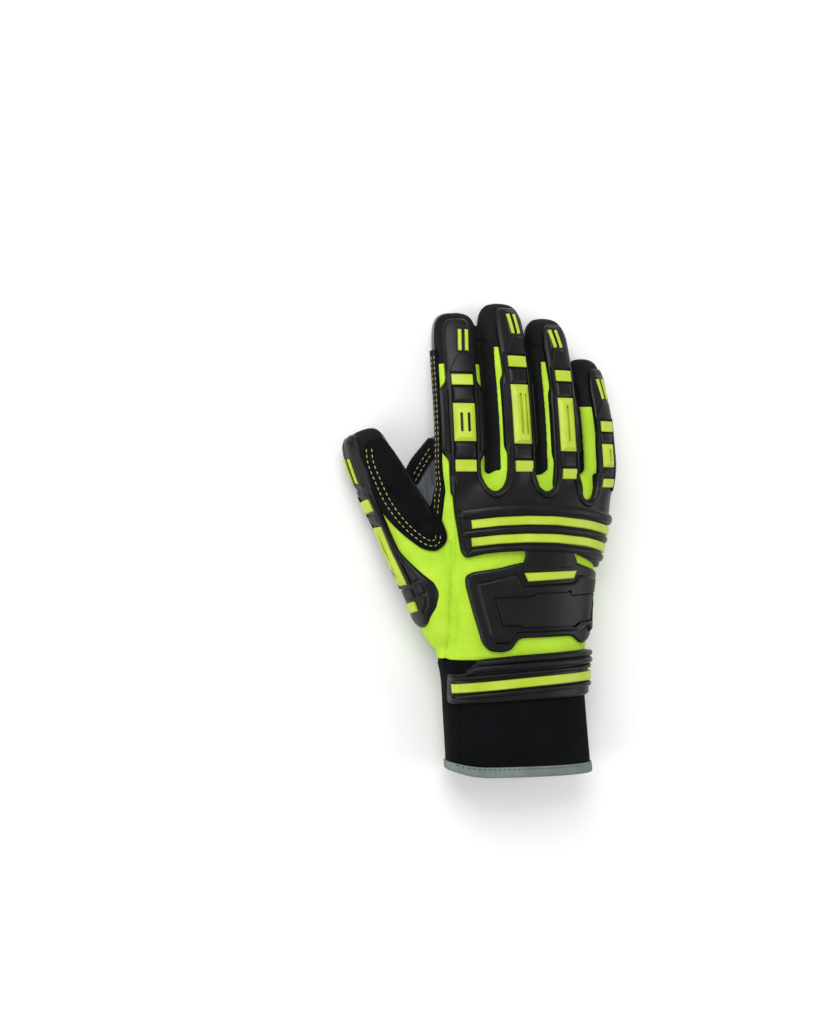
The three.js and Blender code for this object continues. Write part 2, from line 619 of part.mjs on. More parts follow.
const handGrown = handBody(GUARD_TOP);
const plates = union([topOf(KNUCKLE_PLATE, GUARD_SIDE_Z), topOf(BACK_PLATE, GUARD_SIDE_Z)])
  .subtract(union(KNUCKLE_CUTS.map((cut) => topOf(cut, 0))));
const pocketFoot = handBody(POCKET_FOOT);
const insertLayer = handBody(INSERT_TOP).subtract(handBody(INSERT_FOOT));
const handInserts = { knuckle_stripe_upper: STRIPE_UPPER, knuckle_stripe_lower: STRIPE_LOWER, back_bar: BACK_BAR };
for (const [name, outline] of Object.entries(handInserts)) {
  const pocket = topOf(grown(outline, FIT_GAP), INSERT_SIDE_Z - FIT_GAP).subtract(pocketFoot);
  inserts.push({ name, pocket, solid: insertLayer.intersect(topOf(outline, INSERT_SIDE_Z)) });
}
const recess = topOf(BACK_RECESS, GUARD_SIDE_Z).subtract(handBody(GUARD_TOP - RECESS_DEPTH));
const handGuard = union([handGrown.intersect(plates), ...fingerGuards])
  .subtract(handFit)
  .subtract(recess)
  .subtract(union(inserts.map((insert) => insert.pocket)));
addPiece('hand_guard', handGuard, rubber);
for (const insert of inserts) addPiece(insert.name, insert.solid, neon);

// Thumb guard
const thumbFit = thumbTube(FIT_GAP);
const thumbLayer = thumbTube(INSERT_TOP).subtract(thumbTube(INSERT_FOOT));
const thumbPocketFoot = thumbTube(POCKET_FOOT);
const thumbInserts = {
  thumb_line_a: THUMB_LINES[0], thumb_line_b: THUMB_LINES[1], thumb_bar_upper: THUMB_BAR,
  thumb_block: THUMB_BLOCK, thumb_bar_lower: THUMB_BAR_LOWER,
};
const thumbPrism = (outline) => digitPrism(outline, THUMB_STATIONS, THUMB_ROLL);
const thumbPockets = Object.values(thumbInserts).map((outline) => (
  thumbPrism(grown(outline, FIT_GAP)).subtract(thumbPocketFoot)
));
const thumbGuard = union([thumbTube(GUARD_TOP), handGrown]).intersect(thumbPrism(THUMB_GUARD))
  .subtract(thumbFit).subtract(handFit).subtract(cuffFit).subtract(floor);
addPiece('thumb_guard', thumbGuard.subtract(union(thumbPockets)), rubber);
for (const [name, outline] of Object.entries(thumbInserts)) {
  addPiece(name, thumbLayer.intersect(thumbPrism(outline)), neon);
}

// Suede patch and strip, sewn over the cloth
const suedeTop = FIT_GAP + SUEDE;
const suedeLayer = union([handBody(suedeTop), thumbTube(suedeTop)]).subtract(union([handFit, thumbFit]));
const patch = suedeLayer.intersect(topOf(WEB_PATCH, WEB_PATCH_FOOT))
  .subtract(thumbPrism(grown(THUMB_GUARD, FIT_GAP)));
addPiece('web_patch', patch, suede);
const indexStations = fingerStations(FINGERS[0]);
const stripYs = [INDEX_STRIP.nearY, 35, 52.5, 75, 95, 110, INDEX_STRIP.farY];
const stripZ = (y) => axisAt(indexStations, Math.max(y, CROTCH_Y)).z - Math.max(0, 40 - y) * 0.12;
const stripZone = loft(stripYs.map((y) => [
  new THREE.Vector3(-90, y, stripZ(y) - INDEX_STRIP.below),
  new THREE.Vector3(-42, y, stripZ(y) - INDEX_STRIP.below),
  new THREE.Vector3(-42, y, stripZ(y) + INDEX_STRIP.above),
  new THREE.Vector3(-90, y, stripZ(y) + INDEX_STRIP.above),
]));
const stripLayer = handBody(suedeTop).subtract(handFit).subtract(thumbTube(suedeTop + FIT_GAP));
const patchFit = topOf(grown(WEB_PATCH, FIT_GAP), WEB_PATCH_FOOT - FIT_GAP);
addPiece('index_strip', stripLayer.intersect(stripZone).subtract(patchFit), suede);

// Wrist guard
const wristBody = (grow) => union([trunk(grow), cuffTube(grow)]);
const wristPocket = topOf(grown(WRIST_STRIPE, FIT_GAP), INSERT_SIDE_Z - FIT_GAP).subtract(wristBody(POCKET_FOOT));
const wristFit = union([handFit, cuffFit]);
const wristGuard = wristBody(GUARD_TOP).intersect(topOf(WRIST_GUARD, GUARD_SIDE_Z)).subtract(wristFit);
addPiece('wrist_guard', wristGuard.subtract(wristPocket), rubber);
const wristLayer = wristBody(INSERT_TOP).subtract(wristBody(INSERT_FOOT));
addPiece('wrist_stripe', wristLayer.intersect(topOf(WRIST_STRIPE, INSERT_SIDE_Z)), neon);

// Cuff, its binding and the closure tab
const MOUTH_Y = WRIST_Y - CUFF_LENGTH;
const cuffInner = (grow) => cuffTube(grow, 5, COARSE_TRUNK);
const cuffShell = cuffTube(0).subtract(cuffInner(-CUFF_WALL)).intersect(behind);
const mouthGap = box(-200, 200, -200, MOUTH_Y + BINDING_THICK + FIT_GAP, -60, 100);
addPiece('cuff', cuffShell.subtract(mouthGap).subtract(thumbFit), neoprene, FINE);
const bindingZone = box(-200, 200, MOUTH_Y, MOUTH_Y + BINDING_HEIGHT, -60, 100);
const bindingOuter = cuffTube(FIT_GAP + BINDING_THICK).subtract(cuffInner(-CUFF_WALL - FIT_GAP - BINDING_THICK));
const bindingGroove = cuffTube(FIT_GAP, 5).subtract(cuffInner(-CUFF_WALL - FIT_GAP))
  .intersect(box(-200, 200, MOUTH_Y + BINDING_THICK, 200, -60, 100));
const bindingSolid = bindingOuter.intersect(bindingZone).subtract(bindingGroove);
addPiece('cuff_binding', bindingSolid, binding, FINE);

const under = (outline, to) => upright(outline, -60, to);
const tabZone = under(TAB_OUTLINE, 16);
const bindingFit = cuffTube(2 * FIT_GAP + BINDING_THICK, 5)
  .intersect(box(-200, 200, -200, MOUTH_Y + BINDING_HEIGHT + FIT_GAP, -60, 100));
const rimZone = (grow) => {
  const half = 1 + grow;
  const bar = [[-60, TAB_BAR_Y - half], [10, TAB_BAR_Y - half], [10, TAB_BAR_Y + half], [-60, TAB_BAR_Y + half]];
  const frame = tabZone.subtract(under(grown(TAB_OUTLINE, -TAB_RIM_WIDTH - grow), 16));
  return union([frame, under(bar, 16).intersect(tabZone)]);
};
const tabAll = wristBody(FIT_GAP + TAB_THICK)
  .subtract(wristFit).subtract(thumbFit).subtract(bindingFit)
  .intersect(tabZone).subtract(floor);
const rimLayer = wristBody(FIT_GAP + TAB_THICK)
  .subtract(wristBody(FIT_GAP + TAB_BASE + FIT_GAP)).subtract(floor);
const rimSpace = rimZone(FIT_GAP).subtract(wristBody(FIT_GAP + TAB_BASE));
const labelSpace = under(grown(TAB_LABEL, FIT_GAP), 16).subtract(wristBody(FIT_GAP + TAB_BASE));
addPiece('closure_tab', tabAll.subtract(rimSpace).subtract(labelSpace), rubber, FINE);
addPiece('tab_rim', rimLayer.intersect(rimZone(0)), neon, FINE);
addPiece('tab_label', rimLayer.intersect(under(TAB_LABEL, 16)), label);

export default glove;
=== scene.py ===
"""Looks of a right-hand impact work glove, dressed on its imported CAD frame.

The glove lies palm down with its fingers to +Y. Objects are in metres, and the sizes below in millimetres.
"""

import json
import math

import bmesh
import bpy
import numpy as np
from mathutils import Matrix, Vector
from mathutils.bvhtree import BVHTree
from mathutils.kdtree import KDTree

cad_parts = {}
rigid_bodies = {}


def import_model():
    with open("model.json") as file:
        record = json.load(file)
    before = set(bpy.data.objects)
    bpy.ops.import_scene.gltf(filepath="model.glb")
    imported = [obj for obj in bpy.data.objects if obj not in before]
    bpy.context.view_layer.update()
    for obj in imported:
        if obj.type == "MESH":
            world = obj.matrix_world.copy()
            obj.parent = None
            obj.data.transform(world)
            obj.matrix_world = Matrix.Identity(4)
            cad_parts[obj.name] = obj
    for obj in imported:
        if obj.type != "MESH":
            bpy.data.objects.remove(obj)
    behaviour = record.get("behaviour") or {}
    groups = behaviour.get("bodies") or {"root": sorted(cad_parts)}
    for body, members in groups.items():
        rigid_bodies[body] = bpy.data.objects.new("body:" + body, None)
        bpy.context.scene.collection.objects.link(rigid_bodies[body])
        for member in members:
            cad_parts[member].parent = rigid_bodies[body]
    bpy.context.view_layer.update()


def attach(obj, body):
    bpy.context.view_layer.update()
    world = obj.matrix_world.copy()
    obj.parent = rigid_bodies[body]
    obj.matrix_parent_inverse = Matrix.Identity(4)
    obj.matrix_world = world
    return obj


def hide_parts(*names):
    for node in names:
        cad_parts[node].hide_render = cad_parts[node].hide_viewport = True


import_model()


# View and light: a camera 1 m above the glove, tilted to its thumb side, a pale floor and wide soft lamps.
# The picture stands upright, so the lens is set for its height.
MM = 0.001
CAMERA_AIM = Vector((-62.2, 31.2, 0)) * MM
CAMERA_TILT = math.radians(14)
LENS = 60.6
bpy.context.scene.view_settings.view_transform = "Standard"
camera_data = bpy.data.cameras.new("camera")
camera = bpy.data.objects.new("camera", camera_data)
bpy.context.collection.objects.link(camera)
camera.location = CAMERA_AIM + Vector((-math.sin(CAMERA_TILT), 0, math.cos(CAMERA_TILT)))
camera.rotation_euler = (0, -CAMERA_TILT, 0)
camera_data.sensor_fit = "VERTICAL"
camera_data.sensor_height = 36
camera_data.lens = LENS
camera_data.clip_start = 0.01
bpy.context.scene.camera = camera


def linear(code):
    """The linear colour of an sRGB hex value."""
    parts = [int(code[k : k + 2], 16) / 255 for k in (1, 3, 5)]
    return (*[p / 12.92 if p <= 0.04045 else ((p + 0.055) / 1.055) ** 2.4 for p in parts], 1)


def add_node(tree, kind, inputs=(), outputs=(), stops=(), **settings):
    """One node: settings, colour stops, inputs as values or links, and the sockets that it feeds."""
    node = tree.nodes.new(kind)
    for name, value in settings.items():
        setattr(node, name, value)
    for k, (place, colour) in enumerate(stops):
        elements = node.color_ramp.elements
        element = elements[k] if k < 2 else elements.new(place)
        element.position = place
        element.color = linear(colour)
    for name, value in dict(inputs).items():
        if isinstance(value, bpy.types.NodeSocket):
            tree.links.new(value, node.inputs[name])
        else:
            node.inputs[name].default_value = value
    for name, socket in dict(outputs).items():
        tree.links.new(node.outputs[name], socket)
    return node


def new_material(name, colour, roughness, **constants):
    """A material with fixed values on its shader's sockets, with its tree, shader and object places."""
    material = bpy.data.materials.new(name)
    material.use_nodes = True
    tree = material.node_tree
    shader = tree.nodes["Principled BSDF"]
    shader.inputs["Base Color"].default_value = linear(colour)
    shader.inputs["Roughness"].default_value = roughness
    for socket, value in constants.items():
        shader.inputs[socket.replace("_", " ")].default_value = value
    material.diffuse_color = linear(colour)
    return material, tree, shader, add_node(tree, "ShaderNodeTexCoord").outputs["Object"]


def lamp(name, place, target, size, power):
    """A square soft lamp that faces its target."""
    data = bpy.data.lights.new(name, "AREA")
    data.size = size
    data.energy = power
    made = bpy.data.objects.new(name, data)
    bpy.context.collection.objects.link(made)
    made.location = place
    made.rotation_euler = (Vector(target) - Vector(place)).to_track_quat("-Z", "Y").to_euler()


bpy.ops.mesh.primitive_plane_add(size=6)
floor = bpy.context.object
floor.name = "pale_floor"
# paper: white and matt, with fibres of 2.5 mm that break its gloss (noise scales are grains to the metre)
floor_paper, tree, shader, place = new_material("paper_matt_white", "#ffffff", 0.9)
fibres = add_node(tree, "ShaderNodeTexNoise", {"Vector": place, "Scale": 400}).outputs["Fac"]
add_node(tree, "ShaderNodeBump", {"Height": fibres, "Distance": 0.02 * MM, "Strength": 1.0},
         {"Normal": shader.inputs["Normal"]})
floor.data.materials.append(floor_paper)
lamp("window_above", (-0.35, 0.75, 0.95), (0, 0, 0), 0.8, 9)
lamp("fill_right", (0.95, -0.1, 0.7), (0, 0, 0), 0.7, 3.2)
lamp("fill_left", (-0.95, -0.25, 0.6), (0, 0, 0), 0.7, 3.8)
world = bpy.data.worlds.new("studio")
bpy.context.scene.world = world
world.use_nodes = True
world.node_tree.nodes["Background"].inputs["Color"].default_value = linear("#ffffff")
world.node_tree.nodes["Background"].inputs["Strength"].default_value = 0.52


# Cloth hand: one soft skin of palm, thumb web, fingers and thumb, as a hand fills the sewn panels. Each form
# is a circle drawn out from section to section, and the joined forms are fused and smoothed.
PALM = dict(length=105, width=106, depth=42, wrist=-52.5)
CROTCH = PALM["wrist"] + PALM["length"]
PALM_ROWS = [
    # along the palm, then left, right as shares of its width, and bottom, top as shares of its depth
    (0, 0.478, 0.337, 0.085, 0.98),
    (0.14, 0.485, 0.35, 0.085, 1),
    (0.28, 0.49, 0.363, -0.02, 1),
    (0.45, 0.5, 0.388, -0.022, 1),
    (0.65, 0.505, 0.434, -0.022, 1),
    (0.8, 0.5, 0.458, 0.04, 1),
    (0.93, 0.485, 0.456, 0.18, 0.97),
    (1, 0.42, 0.41, 0.33, 0.87),
]
FINGERS = {
    "index": dict(x=-38, tip_x=-38.5, length=94, width=27, depth=25.5, knuckle=25, roll=-5),
    "middle": dict(x=-10.3, tip_x=-11.4, length=100, width=27.8, depth=26, knuckle=28.5, roll=15),
    "ring": dict(x=16.7, tip_x=16.2, length=92, width=25.4, depth=25, knuckle=27.5, roll=17),
    "little": dict(x=40.3, tip_x=40.6, length=69, width=21.6, depth=21.6, knuckle=24, roll=30),
}
FINGER_ROWS = [
    # along the finger, then width, depth and fall as shares of its own
    (-0.3, 0.8, 0.8, 0),
    (0, 1, 1, 0),
    (0.22, 1, 1, 0.09),
    (0.45, 1, 0.97, 0.29),
    (0.68, 1, 0.91, 0.6),
    (0.86, 0.96, 0.82, 0.88),
    (0.945, 0.84, 0.66, 0.98),
    (0.985, 0.6, 0.42, 1),
    (1, 0.26, 0.2, 1),
]
THUMB = dict(width=28, depth=27.5, roll=-76)
THUMB_ROWS = [
    # x, y, z, width, depth
    (-38, -44, 21, 1, 0.92),
    (-45, -30, 20.5, 1.15, 1.12),
    (-52.5, -8, 19.5, 1.15, 1.2),
    (-61.5, 10, 18, 1.08, 1.08),
    (-70.4, 28, 16, 1, 1),
    (-79.4, 45, 14.5, 0.98, 0.94),
    (-86.6, 60, 13.3, 0.94, 0.84),
    (-91.2, 70.5, 12.6, 0.86, 0.74),
    (-92.9, 75.4, 12.2, 0.64, 0.6),
    (-93.6, 77.4, 12, 0.3, 0.34),
]
WEB_ROWS = [
    # x, y, z, half width, half depth
    (-44, -14, 12, 8, 9),
    (-50, 14, 10.8, 14, 9),
    (-54, 38, 10.4, 16.5, 8.2),
    (-54, 53, 10.6, 12.4, 7),
    (-50.5, 65, 11, 7.6, 6),
    (-47.6, 74, 12, 3.8, 4.5),
]
SKIN_VOXEL = 0.9 * MM


def eased(rows, steps):
    """Rows of numbers with steps smooth rows drawn through each gap."""
    rows = np.array(rows, float)
    padded = np.vstack([2 * rows[0] - rows[1], rows, 2 * rows[-1] - rows[-2]])
    made = []
    for a, b, c, d in zip(padded, padded[1:], padded[2:], padded[3:]):
        for k in range(steps):
            t = k / steps
            square, cubic = 2 * a - 5 * b + 4 * c - d, 3 * b - a - 3 * c + d
            made.append(0.5 * (2 * b + (c - a) * t + square * t * t + cubic * t**3))
    return np.array([*made, rows[-1]])


def section(centre, side, up, half_width, half_height, count, top=2.4, bottom=2.4):
    """Points of one rounded section in the plane of side and up, in millimetres."""
    angle = np.arange(count) * 2 * math.pi / count
    power = np.where(np.sin(angle) > 0, 2 / top, 2 / bottom)
    across = half_width * np.sign(np.cos(angle)) * np.abs(np.cos(angle)) ** power
    height = half_height * np.sign(np.sin(angle)) * np.abs(np.sin(angle)) ** power
    return np.array(centre) + np.outer(across, side) + np.outer(height, up)


def drawn_form(name, rings):
    """A closed form: a circle with the first ring's points, extruded to each next ring and capped."""
    bpy.ops.object.select_all(action="DESELECT")
    bpy.ops.mesh.primitive_circle_add(vertices=len(rings[0]), radius=1, fill_type="NGON")
    form = bpy.context.object
    form.name = name
    for vertex, point in zip(form.data.vertices, rings[0]):
        vertex.co = Vector(point) * MM
    bpy.ops.object.mode_set(mode="EDIT")
    for before, after in zip(rings, rings[1:]):
        bpy.ops.mesh.extrude_region_move()
        places = KDTree(len(before))
        for k, point in enumerate(before):
            places.insert(Vector(point) * MM, k)
        places.balance()
        mesh = bmesh.from_edit_mesh(form.data)
        for vertex in mesh.verts:
            if vertex.select:
                vertex.co = Vector(after[places.find(vertex.co)[1]]) * MM
        bmesh.update_edit_mesh(form.data)
    bpy.ops.mesh.select_all(action="SELECT")
    bpy.ops.mesh.normals_make_consistent(inside=False)
    bpy.ops.object.mode_set(mode="OBJECT")
    return form


def digit_table(sizes):
    """y, x, z, half width and half depth along a finger's axis, in millimetres, at close steps."""
    tip_z = sizes["depth"] * 0.31
    rows = [
        (
            CROTCH + sizes["length"] * along,
            sizes["x"] * 0.93 if along < 0 else sizes["x"] + (sizes["tip_x"] - sizes["x"]) * along,
            sizes["knuckle"] + (tip_z - sizes["knuckle"]) * fall,
            sizes["width"] * width / 2,
            sizes["depth"] * depth / 2,
        )
        for along, width, depth, fall in FINGER_ROWS
    ]
    return eased(rows, 5)


def digit_axes(roll):
    """Side and outward directions of a digit whose back is turned by roll about +Y."""
    turn = math.radians(roll)
    return np.array([math.cos(turn), 0, -math.sin(turn)]), np.array([math.sin(turn), 0, math.cos(turn)])


def digit_rings(table, roll):
    """Sections square to a digit's axis."""
    side, out = digit_axes(roll)
    rings = []
    for k, (y, x, z, half_width, half_depth) in enumerate(table):
        before, after = table[max(k - 1, 0)], table[min(k + 1, len(table) - 1)]
        along = np.array([after[1] - before[1], after[0] - before[0], after[2] - before[2]])
        along /= np.linalg.norm(along)
        across = np.cross(along, out)
        across /= np.linalg.norm(across)
        up = np.cross(across, along)
        rings.append(section((x, y, z), across, up, half_width, half_depth, 36))
    return rings


TABLES = {name: digit_table(sizes) for name, sizes in FINGERS.items()}
ROLLS = {name: sizes["roll"] for name, sizes in FINGERS.items()}
TABLES["thumb"] = eased(
    [(y, x, z, THUMB["width"] * w / 2, THUMB["depth"] * d / 2) for x, y, z, w, d in THUMB_ROWS], 5
)
ROLLS["thumb"] = THUMB["roll"]


def palm_rings():
    """Sections of the hand without its fingers."""
    rings = []
    for along, left, right, bottom, top in eased(PALM_ROWS, 4):
        low, high = bottom * PALM["depth"], top * PALM["depth"]
        x0, x1 = -left * PALM["width"], right * PALM["width"]
        centre = ((x0 + x1) / 2, PALM["wrist"] + along * PALM["length"], (low + high) / 2)
        rings.append(section(centre, (1, 0, 0), (0, 0, 1), (x1 - x0) / 2, (high - low) / 2, 64, 2.4, 3.2))
    return rings


def joined(name, parts):
    """Several objects made one."""
    bpy.ops.object.select_all(action="DESELECT")
    for part in parts:
        part.select_set(True)
    bpy.context.view_layer.objects.active = parts[0]
    if len(parts) > 1:
        bpy.ops.object.join()
    whole = bpy.context.object
    whole.name = name
    return whole


def apply_modifier(piece, kind, **settings):
    """Adds a modifier with its settings and applies it."""
    bpy.ops.object.select_all(action="DESELECT")
    piece.select_set(True)
    bpy.context.view_layer.objects.active = piece
    modifier = piece.modifiers.new(kind.title(), kind)
    for name, value in settings.items():
        setattr(modifier, name, value)
    bpy.ops.object.modifier_apply(modifier=modifier.name)


def copied(piece, name):
    """A copy with its own mesh."""
    twin = piece.copy()
    twin.data = piece.data.copy()
    twin.name = name
    bpy.context.collection.objects.link(twin)
    return twin


def places_of(piece):
    """All the vertices of a piece as an array."""
    flat = np.empty(len(piece.data.vertices) * 3)
    piece.data.vertices.foreach_get("co", flat)
    return flat.reshape(-1, 3)


def set_places(piece, places):
    """Moves all the vertices of a piece."""
    piece.data.vertices.foreach_set("co", np.ascontiguousarray(places).ravel())
    piece.data.update()


def normals_of(piece):
    """The directions of all the vertices of a piece."""
    flat = np.empty(len(piece.data.vertices) * 3)
    piece.data.vertices.foreach_get("normal", flat)
    return flat.reshape(-1, 3)


web_rings = []
web_table = eased(WEB_ROWS, 4)
for k, (x, y, z, half_width, half_depth) in enumerate(web_table):
    before, after = web_table[max(k - 1, 0)], web_table[min(k + 1, len(web_table) - 1)]
    along = (after - before)[:3] / np.linalg.norm((after - before)[:3])
    across = np.cross(along, (0, 0, 1))
    across /= np.linalg.norm(across)
    web_rings.append(section((x, y, z), across, np.cross(across, along), half_width, half_depth, 28))
forms = [drawn_form("palm_form", palm_rings()), drawn_form("web_form", web_rings)]
forms += [drawn_form(f"{name}_form", digit_rings(TABLES[name], ROLLS[name])) for name in TABLES]
skin = joined("skin", forms)
apply_modifier(skin, "REMESH", mode="VOXEL", voxel_size=SKIN_VOXEL, use_smooth_shade=True)
apply_modifier(skin, "SMOOTH", factor=0.5, iterations=10)
resting = places_of(skin)
resting[:, 2] = np.maximum(resting[:, 2], 0.02 * MM)
set_places(skin, resting)


# Panels: the skin is cut into sewn panels with a wall of 1.6 mm, green knit on the back, grey coated leather
# in front, black knit between the fingers and at the tips. Every seam lies in a small valley.
CLOTH = 1.6
SEAM_GAP = 0.2
SEAM_VALLEY = (0.7, 1.3)  # depth and half width
QUILT_VALLEY = (0.75, 1.1)
DEEPEST = 1.0
BEYOND, UNDER, OVER = 200, -10, 90  # well outside the glove, for the boxes that cut it
COAT_FROM = {"index": 104, "middle": 111, "ring": 107, "little": 80}
COAT_HALF = 13.4
TIP_LENGTHS = {"index": 31, "middle": 27, "ring": 27, "little": 29.5}
THUMB_TIP_FROM = 55.5
NAMES = list(FINGERS)
PAIRS = list(zip(NAMES, NAMES[1:]))
FOURCHETTE_FROM = CROTCH - 3.2
FOURCHETTE_TO = [CROTCH + min(FINGERS[a]["length"], FINGERS[b]["length"]) - 15 for a, b in PAIRS]
# how far the back's edge climbs each finger, as shares of its depth: on its outer side and towards the thumb
BACK_RISES = [(0.12, 0), (0.31, 0.42), (0.29, 0.42), (0, 0.36)]
PALM_RISE = 0.24
FLANK = 9.5  # half the width beside a finger's axis where its edge keeps one height


def axis_row(name, y):
    """x, z, half width and half depth of a digit at y."""
    table = TABLES[name]
    return [np.interp(y, table[:, 0], table[:, k]) for k in (1, 2, 3, 4)]


def panel_edge(y, side):
    """A panel's edge across the hand at y, as x and z. side is 1 for the back's and -1 for the palm's."""
    share = min(max((y - 10) / 30, 0), 1)
    edge = []
    for k, name in enumerate(NAMES):
        depth = FINGERS[name]["depth"]
        x = axis_row(name, y)[0]
        mid = axis_row(name, max(y, CROTCH))[1]
        outer = mid + (1.5 if k == 0 else -0.3 * depth if k == 3 else 0)
        flank = 15 if k < 2 else 12
        base = flank + (outer - flank) * share
        heights = []
        for pair, facing in ((k - 1, 1), (k, 0)):
            inner = 0 <= pair < 3
            rise = 0
            if inner and FOURCHETTE_FROM < y < FOURCHETTE_TO[pair]:
                full = BACK_RISES[k][facing] if side > 0 else PALM_RISE
                near_end = min(1, (FOURCHETTE_TO[pair] - y) / (3 if side > 0 else 30)) ** 0.5
                near_start = min(1, (y - FOURCHETTE_FROM) / 6) ** 0.5
                rise = side * depth * full * near_end * near_start
            heights.append(mid + rise if inner and (y > 10 or k in (1, 2)) else base)
        if k == 0:
            edge.append((-140, base))
        edge += [(x - FLANK, heights[0]), (x - 0.05, heights[0])]
        edge += [(x + 0.05, heights[1]), (x + FLANK, heights[1])]
        if k == 3:
            edge.append((90, base))
    return edge


def panel_zone(name, side, shift):
    """A solid that holds all of the hand above the back's edge, or below the palm's."""
    far = 90 if side > 0 else -30
    ys = np.concatenate([[-60, -20, 10, 25, 40], np.arange(46, 166, 2.0)])
    rings = []
    for y in ys:
        edge = [(x, y, z + side * shift) for x, z in panel_edge(y, side)]
        rings.append([*edge, (90, y, far), (-140, y, far)])
    return drawn_form(name, rings)


def prism_form(name, outline, low, high):
    """An upright solid on an outline seen from above."""
    return drawn_form(name, [[(x, y, low) for x, y in outline], [(x, y, high) for x, y in outline]])


def block_form(name, x0, x1, y0, y1, z0, z1):
    """A box between two corners."""
    return prism_form(name, [(x0, y0), (x1, y0), (x1, y1), (x0, y1)], z0, z1)


def cut(piece, cutter, operation="DIFFERENCE", keep=False):
    """Cuts a piece with a solid, which is then thrown away."""
    apply_modifier(piece, "BOOLEAN", object=cutter, operation=operation, solver="MANIFOLD")
    if not keep:
        bpy.data.objects.remove(cutter, do_unlink=True)


# the seam valleys, worked out from how far each point of the skin lies from an edge
THUMB_SEAM = [(-56, -48.6), (-30, -47.6), (0, -45.6), (12, -46), (18, -50), (29, -55), (55, -72), (76, -86)]
THUMB_MIDDLE = [(y, z) for y, _, z, _, _ in TABLES["thumb"] if y > 6]
THUMB_EDGE = np.array([(-60, 8), (-24, 10.5), (0, 17.8), *THUMB_MIDDLE])
PALM_THUMB_SEAM = [(-56, -46), (-40, -45), (-20, -45.5), (0, -48), (14, -53), (24, -60), (34, -68)]


def valley(distance, depth, width):
    """Depth of a soft valley at a distance from its line."""
    return depth * np.exp(-((distance / width) ** 2))


points = places_of(skin) / MM
normals = normals_of(skin)
slope = np.maximum(0.4, np.sqrt(1 - normals[:, 2] ** 2))
flatness = np.maximum(0.35, np.sqrt(1 - normals[:, 0] ** 2))
back_gap = np.empty(len(points))
palm_gap = np.empty(len(points))
edges = {}
for k, (x, y, z) in enumerate(points):
    row = round(y * 2)
    if row not in edges:
        edges[row] = [np.array(panel_edge(row / 2, side)).T for side in (1, -1)]
    back, palm = edges[row]
    back_gap[k] = z - np.interp(x, back[0], back[1])
    palm_gap[k] = z - np.interp(x, palm[0], palm[1])
thumb_mid = np.interp(points[:, 1], THUMB_EDGE[:, 0], THUMB_EDGE[:, 1])
seam_x = np.interp(points[:, 1], *np.array(THUMB_SEAM).T)
palm_seam_x = np.interp(points[:, 1], *np.array(PALM_THUMB_SEAM).T)
on_thumb = (points[:, 0] < np.where(points[:, 2] > thumb_mid, seam_x, palm_seam_x)) & (points[:, 1] < 80)
inset = np.zeros(len(points))
inset += np.where(on_thumb, valley((points[:, 2] - thumb_mid) / slope, *SEAM_VALLEY), 0)
inset += np.where(on_thumb, 0, valley(back_gap / slope, *SEAM_VALLEY))
inset += np.where(on_thumb | (np.abs(palm_gap - back_gap) < 0.5), 0, valley(palm_gap / slope, *SEAM_VALLEY))
upper = (points[:, 2] > thumb_mid) & (points[:, 1] < 14)
inset += np.where(upper, valley((points[:, 0] - seam_x) / flatness, 0.9, 1.6), 0)
lower = (points[:, 2] < thumb_mid) & (points[:, 1] < 40)
inset += np.where(lower, valley((points[:, 0] - palm_seam_x) / 0.8, 0.8, 1.4), 0)


# quilting of the palm, in millimetres as seen from above: rows of stitches pull the coated leather in
def oval(x, y, half_x, half_y, turn=0.0, count=36):
    """A closed oval, more square than round, turned by turn degrees."""
    angle = np.linspace(0, 2 * math.pi, count)
    u = half_x * np.sign(np.cos(angle)) * np.abs(np.cos(angle)) ** 0.85
    v = half_y * np.sign(np.sin(angle)) * np.abs(np.sin(angle)) ** 0.85
    c, s = math.cos(math.radians(turn)), math.sin(math.radians(turn))
    return np.stack([x + c * u - s * v, y + s * u + c * v], axis=1)


def close_row(line, step=0.5):
    """Points a step apart along a line."""
    line = np.array(line, float)
    run = np.concatenate([[0], np.cumsum(np.linalg.norm(np.diff(line, axis=0), axis=1))])
    marks = np.linspace(0, run[-1], max(2, round(run[-1] / step) + 1))
    return np.stack([np.interp(marks, run, line[:, k]) for k in range(line.shape[1])], axis=1)


FINGER_PADS = [oval(39.5, 42, 6.6, 14.6, 2), oval(17, 49.5, 5.6, 13.4), oval(-9.6, 52, 5.6, 13)]
HEEL_PADS = [oval(27.6, 4.8, 14, 6.2, 4), oval(23, -11.8, 13.6, 6.2, 7), oval(18, -28, 14.4, 6.6, 12)]
THENAR_PAD = oval(-19.5, 2, 11, 10.4, 30)
# ribbed middle of each heel pad as x, y, half width and half depth
HEEL_RIBS = [(27.6, 4.8, 10.5, 5), (23, -11.8, 10, 5), (18, -28, 11, 5.4)]
QUILT_LINES = [eased([(46, 34), (42.4, 24), (22, 24.6), (4, 27.6), (-14.6, 28.8), (-29, 30)], 8),
               eased([(0, 25.4), (10, 22), (28, 18.8), (43, 14), (46.4, 2), (41.4, -18.4), (34.6, -38),
                      (28, -42.4), (16, -41), (1.3, -37.8), (-14.6, -34.4), (-25.6, -24), (-33, -10.5),
                      (-38, -2)], 8),
               eased([(-28, 24.4), (-8.5, 22), (1.3, 11.8), (2.5, 3), (1.9, -7.2), (-1.4, -14),
                      (-9.6, -12.4), (-6.6, -3.8), (-7.4, 6.4), (-9.6, 13.2), (-18.3, 16)], 8),
               eased([(32, 41), (28, 38.4), (24.5, 39), (21, 43)], 6),
               eased([(11, 44.4), (7, 42.2), (3.7, 43.4), (-3, 47)], 6),
               eased([(-14.6, 45), (-18, 42.6), (-22, 43), (-28, 47)], 6),]
